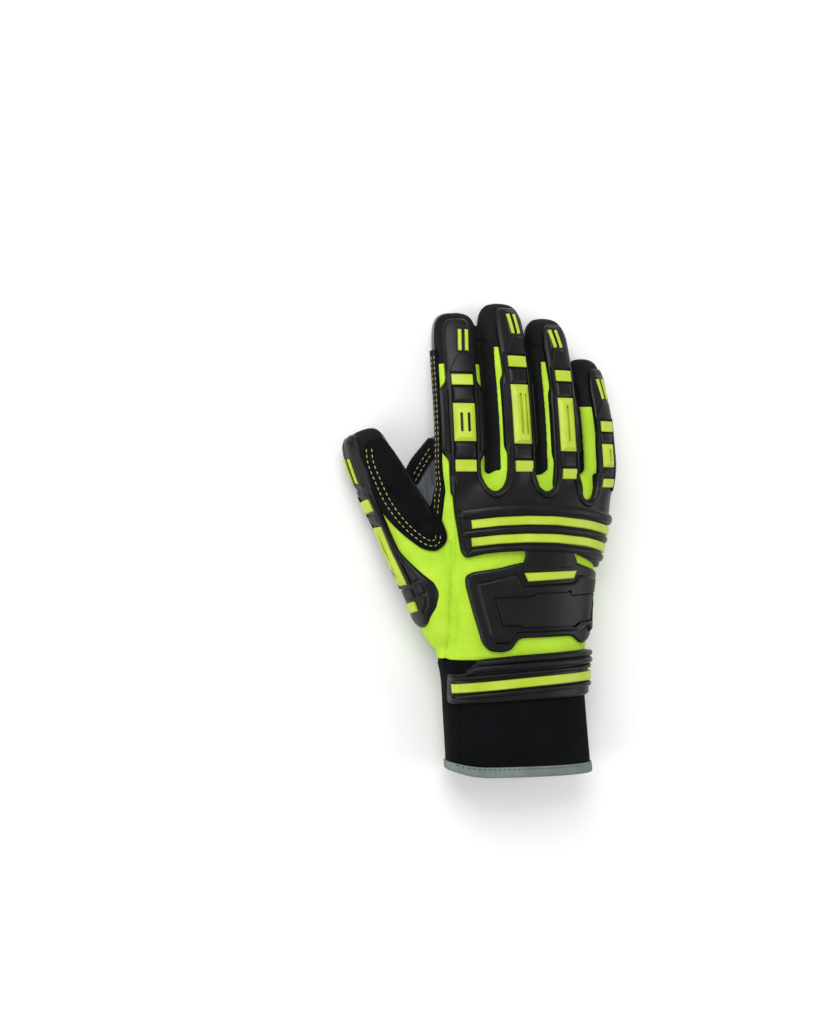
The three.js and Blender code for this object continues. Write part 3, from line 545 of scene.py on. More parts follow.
quilt = [close_row(line) for line in (*QUILT_LINES, *FINGER_PADS, *HEEL_PADS, THENAR_PAD)]
rows = KDTree(sum(len(line) for line in quilt))
for k, (x, y) in enumerate(np.concatenate(quilt)):
    rows.insert((x, y, 0), k)
rows.balance()
under = np.nonzero((normals[:, 2] < -0.35) & (points[:, 1] > -50) & (points[:, 1] < 70) & ~on_thumb)[0]
for k in under:
    x, y, _ = points[k]
    inset[k] += valley(rows.find((x, y, 0))[2], *QUILT_VALLEY)
    ribbed = 0.0
    for cx, cy, half_x, half_y in HEEL_RIBS:
        if abs(x - cx) < half_x and abs(y - cy) < half_y:
            ribbed = 0.45 * (0.5 + 0.5 * math.cos((x - cx) * 2 * math.pi / 4.4 + math.pi))
    if (x + 19.5) ** 2 + (y - 2) ** 2 < 85:
        ribbed = 0.4 * (0.5 + 0.5 * math.cos((x + 0.5 * y) * 2 * math.pi / 3.6))
    inset[k] += ribbed
set_places(skin, (points - normals * np.minimum(inset, DEEPEST)[:, None]) * MM)

core = copied(skin, "core")
set_places(core, (points - normals * CLOTH) * MM)
core = joined("core", [core, drawn_form("wrist_plug", [
    section((-6.5, y, 22.5), (1, 0, 0), (0, 0, 1), 40, 16.5, 40, 2.4, 3.2) for y in (-60, -46)])])
apply_modifier(core, "REMESH", mode="VOXEL", voxel_size=2.2 * MM)
shell = copied(skin, "shell")
cut(shell, core)

# the panels, each cut out of the shell by solids that meet along the seams
side_rings, under_rings = [], []
for y in (-60, -42, -24, -12, 0, 12, 22, 34, 46, 58, 70, 84):
    level = float(np.interp(y, THUMB_EDGE[:, 0], THUMB_EDGE[:, 1]))
    x = float(np.interp(y, *np.array(THUMB_SEAM).T))
    palm_x = float(np.interp(y, *np.array(PALM_THUMB_SEAM).T))
    side_rings.append([(-140, y, level), (x, y, level), (x, y, 90), (-140, y, 90)])
    under_rings.append([(-140, y, -30), (palm_x, y, -30), (palm_x, y, level), (-140, y, level)])
thumb_side = drawn_form("thumb_side", side_rings)
thumb_under = drawn_form("thumb_under", under_rings)
thumb_back = copied(shell, "thumb_back_cloth")
cut(thumb_back, thumb_side, "INTERSECT", keep=True)
thumb_front = copied(shell, "thumb_front_leather")
cut(thumb_front, thumb_under, "INTERSECT", keep=True)
cut(shell, thumb_side)
cut(shell, thumb_under)
back = copied(shell, "back_cloth")
back_zone = panel_zone("back_zone", 1, SEAM_GAP / 2)
palm_zone = panel_zone("palm_zone", -1, SEAM_GAP / 2)
cut(back, back_zone, "INTERSECT", keep=True)
palm = copied(shell, "palm_leather")
cut(palm, palm_zone, "INTERSECT", keep=True)
between = copied(shell, "between")
cut(between, back_zone)
cut(between, palm_zone)
tips = []
for k, name in enumerate(NAMES):
    x = FINGERS[name]["x"]
    left = -90 if k == 0 else (x + FINGERS[NAMES[k - 1]]["x"]) / 2
    right = 90 if k == 3 else (x + FINGERS[NAMES[k + 1]]["x"]) / 2
    start = CROTCH + FINGERS[name]["length"] - TIP_LENGTHS[name]
    zone = block_form("tip_zone", left, right, start, BEYOND, UNDER, OVER)
    tip = copied(back, f"tip_{name}_cloth")
    cut(tip, zone, "INTERSECT", keep=True)
    cut(back, zone)
    tips.append(tip)
zone = block_form("tip_zone", -140, -60, THUMB_TIP_FROM, BEYOND, UNDER, OVER)
thumb_tip = copied(thumb_back, "tip_thumb_cloth")
cut(thumb_tip, zone, "INTERSECT", keep=True)
cut(thumb_back, zone)


def paint(piece, material, slot, *nodes):
    """Finishes a new piece: its material, body and the CAD nodes that it stands for. slot is not used."""
    piece.data.materials.clear()
    piece.data.materials.append(material)
    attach(piece, "root")
    if nodes:
        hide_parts(*nodes)


WAVE = 0.314 / MM  # scale of a wave texture whose bands lie 1 mm apart
RIB = 0.8  # a little coarser than real, so that the ribs show


def knit(name, shade, light):
    """Fine rib knit: upright ribs 0.8 mm apart, rows of loops across them, and a fuzz of fibres over both."""
    material, tree, shader, place = new_material(name, light, 0.85, Specular_IOR_Level=0.2)
    ribs = add_node(tree, "ShaderNodeTexWave", {
        "Vector": place, "Scale": WAVE / RIB, "Distortion": 0.4, "Detail": 1}).outputs["Fac"]
    rows = add_node(tree, "ShaderNodeTexWave", {
        "Vector": place, "Scale": WAVE / (RIB * 0.8), "Distortion": 0.8, "Detail": 1},
        bands_direction="Y").outputs["Fac"]
    clouds = add_node(tree, "ShaderNodeTexNoise", {"Vector": place, "Scale": 60, "Detail": 3}).outputs["Fac"]
    fuzz = add_node(tree, "ShaderNodeTexNoise", {"Vector": place, "Scale": 1400}).outputs["Fac"]
    loops = add_node(tree, "ShaderNodeMix", {"Factor": 0.4, "A": ribs, "B": rows}).outputs["Result"]
    shades = add_node(tree, "ShaderNodeMix", {"Factor": 0.3, "A": clouds, "B": fuzz}).outputs["Result"]
    # painted shade: the ribs and loops also darken the colour in the hollows between them
    tone = add_node(tree, "ShaderNodeMix", {"Factor": 0.17, "A": shades, "B": loops}).outputs["Result"]
    add_node(tree, "ShaderNodeValToRGB", {"Fac": tone}, {"Color": shader.inputs["Base Color"]},
             stops=((0.3, shade), (0.62, light)))
    relief = add_node(tree, "ShaderNodeMix", {"Factor": 0.5, "A": loops, "B": fuzz}).outputs["Result"]
    add_node(tree, "ShaderNodeBump", {"Height": relief, "Distance": 0.1 * MM, "Strength": 0.6},
             {"Normal": shader.inputs["Normal"]})
    return material


# green rib knit: bright fluorescent cloth, with painted shade that makes it a little darker between its ribs
green_knit = knit("knit_rib_fluorescent_green", "#9dcb28", "#bbe23e")
# black stretch knit: the same rib in a deep, dull black, with the same painted shade between its ribs
black_knit = knit("knit_stretch_black", "#060607", "#121315")
# coated leather: grey, streaked lighter along the hand where the coat has been pulled, with fine pores. The
# streaks are drawn 1.5 mm wide and some 17 mm long, coarser than real, so that they show.
coated_leather, tree, shader, place = new_material("leather_coated_grey_streaked", "#565b61", 0.5)
pulled = add_node(tree, "ShaderNodeMapping", {"Vector": place, "Scale": (1, 0.09, 1)}).outputs["Vector"]
streaks = add_node(tree, "ShaderNodeTexNoise", {
    "Vector": pulled, "Scale": 640, "Detail": 4, "Roughness": 0.65, "Distortion": 0.3}).outputs["Fac"]
gathered = add_node(tree, "ShaderNodeMapping", {"Vector": place, "Scale": (1, 0.18, 0.6)}).outputs["Vector"]
pleats = add_node(tree, "ShaderNodeTexNoise", {
    "Vector": gathered, "Scale": 130, "Detail": 3, "Distortion": 0.8}).outputs["Fac"]
tone = add_node(tree, "ShaderNodeMix", {"Factor": 0.45, "A": streaks, "B": pleats}).outputs["Result"]
add_node(tree, "ShaderNodeValToRGB", {"Fac": tone}, {"Color": shader.inputs["Base Color"]},
         stops=((0.32, "#282c30"), (0.52, "#474c51"), (0.74, "#868b90")))
add_node(tree, "ShaderNodeMapRange", {
    "Value": streaks, "From Min": 0.3, "From Max": 0.7, "To Min": 0.36, "To Max": 0.6},
    {"Result": shader.inputs["Roughness"]})
pores = add_node(tree, "ShaderNodeTexNoise", {"Vector": place, "Scale": 2600}).outputs["Fac"]
relief = add_node(tree, "ShaderNodeMix", {"Factor": 0.25, "A": pleats, "B": pores}).outputs["Result"]
add_node(tree, "ShaderNodeBump", {"Height": relief, "Distance": 0.9 * MM, "Strength": 0.55},
         {"Normal": shader.inputs["Normal"]})
# second coat of the fingertips: smooth and a little glossier, with faint clouds and a fine pebble of 0.5 mm
smooth_coat, tree, shader, place = new_material("leather_coated_grey_smooth", "#5f656c", 0.32)
cloud = add_node(tree, "ShaderNodeTexNoise", {"Vector": place, "Scale": 55, "Detail": 3}).outputs["Fac"]
add_node(tree, "ShaderNodeValToRGB", {"Fac": cloud}, {"Color": shader.inputs["Base Color"]},
         stops=((0.3, "#4d5359"), (0.7, "#70767c")))
add_node(tree, "ShaderNodeMapRange", {
    "Value": cloud, "From Min": 0.3, "From Max": 0.7, "To Min": 0.26, "To Max": 0.4},
    {"Result": shader.inputs["Roughness"]})
pebble = add_node(tree, "ShaderNodeTexNoise", {"Vector": place, "Scale": 1800}).outputs["Fac"]
add_node(tree, "ShaderNodeBump", {"Height": pebble, "Distance": 0.03 * MM, "Strength": 1.0},
         {"Normal": shader.inputs["Normal"]})
for name, start in COAT_FROM.items():
    x = FINGERS[name]["x"]
    zone = block_form("coat_zone", x - COAT_HALF, x + COAT_HALF, start, BEYOND, UNDER, OVER)
    coat = copied(palm, f"coat_{name}_leather")
    cut(coat, zone, "INTERSECT", keep=True)
    cut(palm, zone)
    paint(coat, smooth_coat, "grey_palm")
for piece, material, slot, nodes in (
    (back, green_knit, "green_cloth", ["back_panel"]),
    (thumb_back, green_knit, "green_cloth", ["thumb_back"]),
    (palm, coated_leather, "grey_palm", ["palm_panel"]),
    (thumb_front, coated_leather, "grey_palm", ["thumb_front"]),
    (thumb_tip, black_knit, "black_cloth", ["tip_thumb"]),
    *[(tip, black_knit, "black_cloth", [f"tip_{name}"]) for tip, name in zip(tips, NAMES)],
    (between, black_knit, "black_cloth", [f"fourchette_{a}_{b}" for a, b in PAIRS]),
):
    paint(piece, material, slot, *nodes)


# Finger guards: black rubber moulded in one strip along each finger, wider and stepped beside the knuckle.
# Raised rails hold the neon bars and block, soft saddles lie between them, and a facet leads to the tip. The
# moulding is bonded to the cloth.
FINGER_GUARDS = {
    # Half widths of strip and flange, and y of the tip. Bars and block as half width, near y and far y. The
    # lines as y of start and end, and their middle there. Slots as middle, near y, far y, half width, foot.
    "index": dict(
        strip=9, flange=12.2, lean=0, reach=(7, 9), tip=142,
        lower=(6, 53.9, 60.5), block=(6.2, 71.1, 92.5), upper=(6.1, 103.1, 109.1), lines=(123, 135.5, 2, 3),
        slots=((-1.9, 76.3, 87.3, 0.85, 2.1), (2.3, 76.3, 87.3, 0.85, 2.1))),
    "middle": dict(
        strip=9, flange=11, lean=1.4, reach=(2, 2.5), tip=149,
        lower=(5.6, 53.9, 60.1), block=(5.8, 69.8, 103.6), upper=(5.9, 113.8, 120.2),
        lines=(133.6, 145.2, 1.7, 0.3), slots=((-0.9, 75, 98.5, 0.85, 2.9), (2.5, 75, 98.5, 0.55, 2.9))),
    "ring": dict(
        strip=8.6, flange=10.2, lean=1.8, reach=(2, 2.5), tip=140,
        lower=(4.8, 49.9, 55.7), block=(5.4, 65.8, 96.4), upper=(5.3, 106.1, 112.4),
        lines=(126.1, 136.5, -0.8, -2.8), slots=((-0.3, 71, 92, 0.85, 2.9),)),
    "little": dict(
        strip=7.2, flange=8.2, lean=2.2, reach=(2, 2), tip=115,
        lower=(4.6, 45.4, 50.2), block=(4.9, 57, 70.3), upper=(4.8, 77.5, 83.5),
        lines=(96.9, 108.6, 1.6, -0.6), slots=((0.3, 60, 67.3, 0.85, 2.9),)),
}


def moulded_rubber(name, colour, roughness, clouds, detail, shades, gloss, **constants):
    """Satin moulded rubber: a mould grain of 0.3 mm, and a bloom in clouds with its shades and gloss."""
    material, tree, shader, place = new_material(name, colour, roughness, **constants)
    bloom = add_node(tree, "ShaderNodeTexNoise", {
        "Vector": place, "Scale": clouds, "Detail": detail}).outputs["Fac"]
    add_node(tree, "ShaderNodeValToRGB", {"Fac": bloom}, {"Color": shader.inputs["Base Color"]},
             stops=((0.3, shades[0]), (0.7, shades[1])))
    add_node(tree, "ShaderNodeMapRange", {
        "Value": bloom, "From Min": 0.3, "From Max": 0.7, "To Min": gloss[0], "To Max": gloss[1]},
        {"Result": shader.inputs["Roughness"]})
    mould_grain = add_node(tree, "ShaderNodeTexNoise", {"Vector": place, "Scale": 3200}).outputs["Fac"]
    add_node(tree, "ShaderNodeBump", {"Height": mould_grain, "Distance": 0.03 * MM, "Strength": 0.6},
             {"Normal": shader.inputs["Normal"]})
    return material


# black rubber: all but black, with a dull bloom in clouds of about 11 mm
black_rubber = moulded_rubber("rubber_moulded_satin_black", "#0c0c0d", 0.38, 90, 4,
                              ("#070708", "#0e0e0f"), (0.32, 0.42), Specular_IOR_Level=0.26)
# neon rubber: a yellow green, a touch deeper in its clouds of about 14 mm
neon_rubber = moulded_rubber("rubber_moulded_satin_neon", "#d2ea3c", 0.42, 70, 3,
                             ("#a8be22", "#bacf38"), (0.36, 0.48))
BAR_TOP = 4.2
BAR_EDGE = 0.45
OFF_POINTS = 0.013  # keeps the cuts off the forms' own points
guide = BVHTree.FromObject(skin, bpy.context.evaluated_depsgraph_get())


def rounded(outline, radius, steps=3):
    """An outline with its corners rounded off."""
    points = np.array(outline, float)
    made = []
    for k, point in enumerate(points):
        before, after = points[k - 1] - point, points[(k + 1) % len(points)] - point
        lengths = np.linalg.norm(before), np.linalg.norm(after)
        size = min(radius, lengths[0] * 0.45, lengths[1] * 0.45)
        start, end = point + before / lengths[0] * size, point + after / lengths[1] * size
        for t in np.linspace(0, 1, steps + 1):
            made.append((1 - t) ** 2 * start + 2 * t * (1 - t) * point + t * t * end)
    return made


def moulding(name, outline, foot, steps):
    """A flat moulded form: an outline raised from its foot, then inset and raised step by step."""
    outline = np.array([point[:2] for point in outline], float)
    ahead = np.roll(outline, -1, axis=0)
    if np.sum(outline[:, 0] * ahead[:, 1] - ahead[:, 0] * outline[:, 1]) < 0:
        outline = outline[::-1]
    bpy.ops.object.select_all(action="DESELECT")
    bpy.ops.mesh.primitive_circle_add(vertices=len(outline), radius=1, fill_type="NGON")
    form = bpy.context.object
    form.name = name
    for vertex, (x, y) in zip(form.data.vertices, outline):
        vertex.co = (x, y, foot)
    bpy.ops.object.mode_set(mode="EDIT")
    bpy.ops.mesh.select_all(action="SELECT")
    bpy.ops.mesh.extrude_region_move(TRANSFORM_OT_translate={"value": (0, 0, steps[0][1])})
    for inset, rise in steps[1:]:
        bpy.ops.mesh.inset(thickness=inset, depth=rise, use_even_offset=True)
    bpy.ops.mesh.select_all(action="SELECT")
    bpy.ops.mesh.normals_make_consistent(inside=False)
    bpy.ops.object.mode_set(mode="OBJECT")
    return form


def rib_outline(line, half, end_round=True):
    """The outline of a rib along a line of points, with round ends."""
    line = np.array(line, float)
    along = np.gradient(line, axis=0)
    along /= np.linalg.norm(along, axis=1)[:, None]
    across = np.stack([-along[:, 1], along[:, 0]], axis=1)
    left, right = line + across * half, line - across * half
    if not end_round:
        return [*left, *right[::-1]]
    ends = []
    for end, way, side in ((line[-1], along[-1], across[-1]), (line[0], -along[0], -across[0])):
        turns = np.linspace(0, math.pi, 7)[1:-1]
        ends.append([end + half * (side * math.cos(t) + way * math.sin(t)) for t in turns])
    return [*left, *ends[0], *right[::-1], *ends[1]]


def diced(piece, step, lows, highs):
    """Cuts a flat form by even planes across x and y, so that it can follow the curved hand."""
    bpy.ops.object.select_all(action="DESELECT")
    piece.select_set(True)
    bpy.context.view_layer.objects.active = piece
    bpy.ops.object.mode_set(mode="EDIT")
    for axis in (0, 1):
        for place in np.arange(math.ceil(lows[axis] / step) * step, highs[axis], step):
            normal = [0, 0, 0]
            normal[axis] = 1
            point = [0, 0, 0]
            point[axis] = place + OFF_POINTS
            bpy.ops.mesh.select_all(action="SELECT")
            bpy.ops.mesh.bisect(plane_co=point, plane_no=normal)
    bpy.ops.object.mode_set(mode="OBJECT")


def wrapped(name, parts, place, step=2.0, sharp=32):
    """Joins flat forms, dices them and lays them on the hand by place(u, y, height)."""
    whole = joined(name, parts)
    flat = places_of(whole)
    diced(whole, step, flat.min(axis=0), flat.max(axis=0))
    flat = places_of(whole)
    set_places(whole, np.array([place(*point) for point in flat]) * MM)
    bpy.ops.object.select_all(action="DESELECT")
    whole.select_set(True)
    bpy.context.view_layer.objects.active = whole
    bpy.ops.object.shade_smooth_by_angle(angle=math.radians(sharp))
    return whole


def on_digit(name):
    """Placing on a digit: u across its back, y along the hand and height over the skin."""
    side, out = digit_axes(ROLLS[name])

    def place(u, y, height):
        """A point over the digit, on a section grown by height."""
        x, z, half_width, half_depth = axis_row(name, y)
        foot = np.array([x, y, z]) + side * u

        def bow(grow):
            """How high the grown section stands over its axis at u."""
            return (half_depth + grow) * (1 - min(abs(u) / (half_width + grow), 0.995) ** 2.4) ** (1 / 2.4)

        start = (foot + out * 45) * MM
        hit = guide.ray_cast(Vector(start), Vector(-out), 0.06)[0]
        base = bow(0) if hit is None else float(np.dot(np.array(hit) / MM - foot, out))
        return foot + out * (base + bow(height) - bow(0))

    return place


def bar(half, near, far):
    """A neon bar between its rails: straight sides and a small bevel."""
    outline = rounded([(-half, near), (half, near), (half, far), (-half, far)], 0.5, 2)
    return moulding("bar", outline, 1.0, [(0, BAR_TOP - 1.0 - BAR_EDGE), (BAR_EDGE, BAR_EDGE)])


hand_guards = []
for name, sizes in FINGER_GUARDS.items():
    place = on_digit(name)
    near, far = sizes["block"][1:]
    strip, flange, tip = sizes["strip"], sizes["flange"], sizes["tip"]
    lean, low_end, high_end = sizes["lean"], near - sizes["reach"][0], far + sizes["reach"][1]
    side = [(strip, 40), (strip, low_end - 3.5), (flange, low_end), (flange, high_end),
            (strip, high_end + 3.5), (strip, tip - 14), (strip * 0.93, tip - 6), (strip * 0.62, tip)]
    leans = np.interp([y for _, y in side], [near - 8, near, far, far + 12], [0, lean, lean, 0])
    outline = [(u + shift, y) for (u, y), shift in zip(side, leans)]
    outline += [(shift - u, y) for (u, y), shift in zip(side[::-1], leans[::-1])]
    outline = rounded(outline, 2.2, 3)
    parts = [moulding("strip", outline, 0.1, [(0, 1.7), (0.5, 0.45), (0.9, 0.15), (0.5, 0.05)])]
    rail_to = sizes["upper"][2] + 1.5
    for sign in (-1, 1):
        inner = sign * (sizes["upper"][0] + 1.3)
        line = [(inner, sizes["lower"][1] - 1.5), (inner, near - 2),
                (sign * (sizes["block"][0] + 1.5), near + 1.5),
                (sign * (sizes["block"][0] + 1.5), far - 1.5), (inner, far + 2), (inner, rail_to)]
        parts.append(moulding("rail", rounded(rib_outline(line, 0.95), 0.8, 2), 1.5,
                              [(0, 1.6), (0.35, 0.45)]))
        inner, outer = lean + sign * (strip - 0.4), lean + sign * (flange - 0.5)
        wing = [(inner, low_end + 0.5), (outer, low_end + 2.5), (outer, high_end - 2.5),
                (inner, high_end - 0.5)]
        parts.append(moulding("wing", wing, 1.5, [(0, 1.2), (0.35, 0.4)]))
    for low, high in ((sizes["lower"][2], near), (far, sizes["upper"][1])):
        half = sizes["upper"][0] + 0.3
        saddle = [(-half, low + 0.4), (half, low + 0.4), (half, high - 0.4), (-half, high - 0.4)]
        parts.append(moulding("saddle", saddle, 1.5, [(0, 0.9), (0.5, 0.55), (0.8, 0.4), (0.9, 0.15)]))
    wide = sizes["upper"][0] + 1.6
    start, end, from_u, to_u = sizes["lines"]
    facet = [(-wide, rail_to - 0.5), (wide, rail_to - 0.5), (from_u + 3.4, start - 1.5),
             (from_u - 3.4, start - 1.5)]
    parts.append(moulding("facet", rounded(facet, 0.8, 2), 1.5, [(0, 1.3), (0.8, 0.8)]))
    hood = [(from_u - 4.2, start - 1), (from_u + 4.2, start - 1), (to_u + 3.6, end + 2.4),
            (to_u - 3.6, end + 2.4)]
    parts.append(moulding("hood", rounded(hood, 1.8, 3), 1.5, [(0, 0.9), (0.9, 0.5), (0.8, 0.15)]))
    hand_guards.append(wrapped(f"guard_{name}", parts, place))
    neon = {
        f"bar_upper_{name}": bar(*sizes["upper"]),
        f"bar_lower_{name}": bar(*sizes["lower"]),
        f"block_{name}": moulding(
            "block", [(-sizes["block"][0], near), (sizes["block"][0], near), (sizes["block"][0], far),
                      (-sizes["block"][0], far)], 1, [(0, 1.9), (2.1, 1.35), (0.3, 0.05)]),
    }
    for letter, shift in (("a", -2), ("b", 2)):
        line = [(from_u + shift, start), (to_u + shift, end)]
        neon[f"tip_line_{name}_{letter}"] = moulding(
            "tip_line", rib_outline(line, 1.0, False), 1.2, [(0, 2.2), (0.3, 0.3)])
    for u, low, high, half, foot in sizes["slots"]:
        slot = moulding("slot", rib_outline([(u, low + half), (u, high - half)], half), foot, [(0, 4)])
        cut(neon[f"block_{name}"], slot)
    for node, form in neon.items():
        paint(wrapped(node + "_rubber", [form], place, sharp=24), neon_rubber, "neon_rubber", node)


# Hand guard: one black moulding over the knuckles and the back of the hand. The knuckle plate has three
# U-shaped openings between the fingers with raised rims, and three round ribs beside two arched neon stripes.
BEND_X, BEND_Z, BEND_R = 30, 22, 15
CUFF_LOW, CUFF_HIGH, CUFF_LENGTH = 3.6, 42, 66
ARCH = [(-48, -3.6), (-36.6, -2.4), (-20.9, -0.7), (-4.5, 0), (12.5, -0.35), (30.5, -2.3),
        (40, -4.6), (52, -7.5)]


def on_hand(s, y, height):
    """A point over the back of the hand: s is x up to BEND_X and then the way round the outer side."""
    if s <= BEND_X:
        start, way = np.array([s, y, 95.0]), np.array([0, 0, -1.0])
    else:
        turn = (s - BEND_X) / BEND_R
        way = -np.array([math.sin(turn), 0, math.cos(turn)])
        start = np.array([BEND_X, y, BEND_Z]) - way * 60
    hit, normal = back_guide.ray_cast(Vector(start) * MM, Vector(way), 0.12)[:2]
    if hit is None:
        return start - way * (height - 60)
    lean = max(0.6, -float(np.dot(np.array(normal), way)))
    return np.array(hit) / MM - way * height / lean


def arch(s):
    """How far the arched lines of the knuckles lie below their middle at s."""
    return np.interp(s, *np.array(ARCH).T)


def arched(y, start, end, count=24):
    """An arched line across the knuckles, whose middle lies at y."""
    return [(s, y + arch(s)) for s in np.linspace(start, end, count)]


# the surface that the mouldings are laid on: the skin and a plain cuff, smoothed over their folds
CUFF_GUIDE = [(-0.1, 51.4, 35.6), (0, 50.6, 35.7), (0.2, 47.9, 35.4), (0.6, 46.4, 37.4), (1, 45.2, 39.6)]
cuff_solid = [
    section(((right - left) / 2, PALM["wrist"] - CUFF_LENGTH * along, (CUFF_LOW + CUFF_HIGH) / 2),
            (1, 0, 0), (0, 0, 1), (right + left) / 2, (CUFF_HIGH - CUFF_LOW) / 2, 64, 2.4, 3.2)
    for along, left, right in eased(CUFF_GUIDE, 4)]
guide_form = joined("guide_form", [copied(skin, "guide_form"), drawn_form("cuff_guide", cuff_solid)])
apply_modifier(guide_form, "REMESH", mode="VOXEL", voxel_size=1.6 * MM, use_smooth_shade=True)
apply_modifier(guide_form, "SMOOTH", factor=0.5, iterations=14)
back_guide = BVHTree.FromObject(guide_form, bpy.context.evaluated_depsgraph_get())
bpy.data.objects.remove(guide_form, do_unlink=True)

# the knuckle plate, its three openings, its ribs and its stripes
CUTS = [
    [(-30.8, 56), (-29.4, 49.7), (-26.9, 44.9), (-22.9, 42.4), (-18.3, 45), (-16.4, 49.7), (-15.9, 56)],
    [(0.9, 56), (1.1, 51.4), (2.6, 46), (7.2, 42.3), (11.7, 44.5), (13.4, 49.8), (13.5, 56)],
    [(27.2, 54), (27.7, 45.6), (29.2, 40.2), (32.2, 37.5), (35.4, 39.7), (37.4, 45.7), (37.8, 54)],
]
plate = [(-46.8, 57), *CUTS[0], *CUTS[1], *CUTS[2], (44.5, 52), (49.5, 44), (50, 30), (50, 8), (49, -1.5),
         (44, 0.5)]
plate += [(30, 5.6), (22, 9.2), (8, 9.6), (-6.5, 10.6), (-20.9, 9), (-31.5, 7.1), (-39.4, 5), (-41.8, 9)]
plate += [(-43.6, 21), (-45.1, 30.6), (-46.4, 46)]
parts = [moulding("plate", rounded(plate, 2, 2), 0.1, [(0, 1.9), (0.5, 0.6), (0.9, 0.3)])]
for k, line in enumerate(CUTS):
    curve = eased(line, 4)
    shift = np.array([line[3][0], 60])
    outward = curve - shift
    outward /= np.linalg.norm(outward, axis=1)[:, None]
    outward[:, 1] = np.minimum(outward[:, 1], 0)
    rim = curve + outward / np.maximum(np.linalg.norm(outward, axis=1), 0.1)[:, None] * 2.0
    parts.append(moulding("rim", rib_outline(rim, 1.5), 2, [(0, 1.2), (0.4, 0.7), (0.4, 0.35), (0.4, 0.1)]))
for y, start, end, half, top in (
        (33, -41.2, 49, 2.8, 5.2), (21.6, -40.2, 49.5, 2, 4.6), (11.2, -36.6, 49.5, 1.9, 4.5)):
    line = arched(y, start, end)
    parts.append(moulding("rib", rib_outline(line, half), 1.5,
                          [(0, top - 2.6), (half * 0.22, 0.55), (half * 0.22, 0.35), (half * 0.25, 0.2)]))
edge_line = [(-45, 50), (-44.4, 33), (-43, 21), (-40.6, 10.5)]
parts.append(moulding("edge_rib", rib_outline(edge_line, 0.7), 2, [(0, 1.2), (0.3, 0.4)]))
hand_guards.append(wrapped("guard_knuckles", parts, on_hand))
for node, y in (("knuckle_stripe_upper", 26.6), ("knuckle_stripe_lower", 16.6)):
    stripe = moulding("stripe", rib_outline(arched(y, -36.6, 49.5, 30), 2.4, False), 1.5,
                      [(0, 2.3), (0.5, 0.5)])
    paint(wrapped(node + "_rubber", [stripe], on_hand), neon_rubber, "neon_rubber", node)


# Back plate: a stepped shield with a thick lip, a bevelled wing towards the thumb and a plain sunk panel,
# joined to the knuckles by a dimpled neck. It carries one neon bar.
SHIELD = [(-39.4, -4.8), (-35.6, -2.6), (-20.9, -0.4), (-8.6, 2.6), (24.5, 3), (31, 0.5), (41, -2),
          (47.5, -4), (46, -20), (45, -37), (38.5, -41.5), (30, -44.4), (23.6, -39.2), (-9.4, -40),
          (-13.8, -46.4), (-18.6, -47.8), (-26.2, -47.2), (-30.4, -42.5), (-35.6, -24.4), (-39.4, -9.6)]
PANEL = [(-24.7, -16.5), (-1.1, -15.7), (-0.5, -14.1), (21.7, -13.2), (22.1, -15.5), (41, -14.8),
         (37.5, -31.2), (28.2, -31.9), (24.8, -34.4), (-8.9, -34.7), (-10, -33.3), (-19.7, -33.5)]
RAISED = [(-34, -8.5), (-20, -5.5), (-10.5, -3), (-7.5, -10.4), (24.5, -8.6), (27, -4.5), (41.5, -6.5),
          (40.5, -36), (37.5, -38), (33.8, -33.5), (28, -36.5), (-10.8, -37), (-15.5, -43.2), (-23.5, -43),
          (-27, -38), (-33.5, -14)]
BACK_BAR = [(-6.7, -3.2), (25.3, -2.2), (23.5, -6.4), (-4.5, -7.9)]
shield = moulding("shield", rounded(SHIELD, 2.6, 3), 0.1, [(0, 1.5), (0.7, 0.7), (0.8, 0.2)])
raised = moulding("raised", rounded(RAISED, 1.2, 2), 1.6, [(0, 1.0), (1.3, 1.6), (0.3, 0.1)])
moat = moulding("moat", PANEL, 2.6, [(0, 3.6)])
cut(raised, moat)
panel = np.array(PANEL, float)
inner_panel = panel + (panel.mean(axis=0) - panel) * np.array([0.03, 0.09])
parts = [shield, raised, moulding("panel", inner_panel, 2, [(0, 1.8), (0.35, 0.3)])]
neck = [(-7.5, 13), (-5, 8), (-7, 1.8), (-3, -1), (24, -1), (26.5, 3), (22.5, 9.5), (21.5, 12.5)]
parts.append(moulding("neck", rounded(neck, 1.5, 2), 0.1, [(0, 2.2), (0.8, 0.5)]))
hexagon = [(0.6, 0), (0.3, 0.52), (-0.3, 0.52), (-0.6, 0), (-0.3, -0.52), (0.3, -0.52)]
dot = moulding("dot", hexagon, 2.4, [(0, 0.6), (0.2, 0.15)])
for row, y in enumerate(np.arange(0.2, 10.4, 1.35)):
    for x in np.arange(-1.6 + 0.8 * (row % 2), 19.6, 1.6):
        bump = copied(dot, "dot")
        bump.data.transform(Matrix.Translation((x, y, 0)))
        parts.append(bump)
bpy.data.objects.remove(dot, do_unlink=True)
hand_guards.append(wrapped("guard_shield", parts, on_hand))
paint(joined("hand_guard_rubber", hand_guards), black_rubber, "black_rubber", "hand_guard")
back_bar = moulding("back_bar", BACK_BAR, 1.5, [(0, 2.2), (0.5, 0.5)])
paint(wrapped("back_bar_rubber", [back_bar], on_hand), neon_rubber, "neon_rubber", "back_bar")


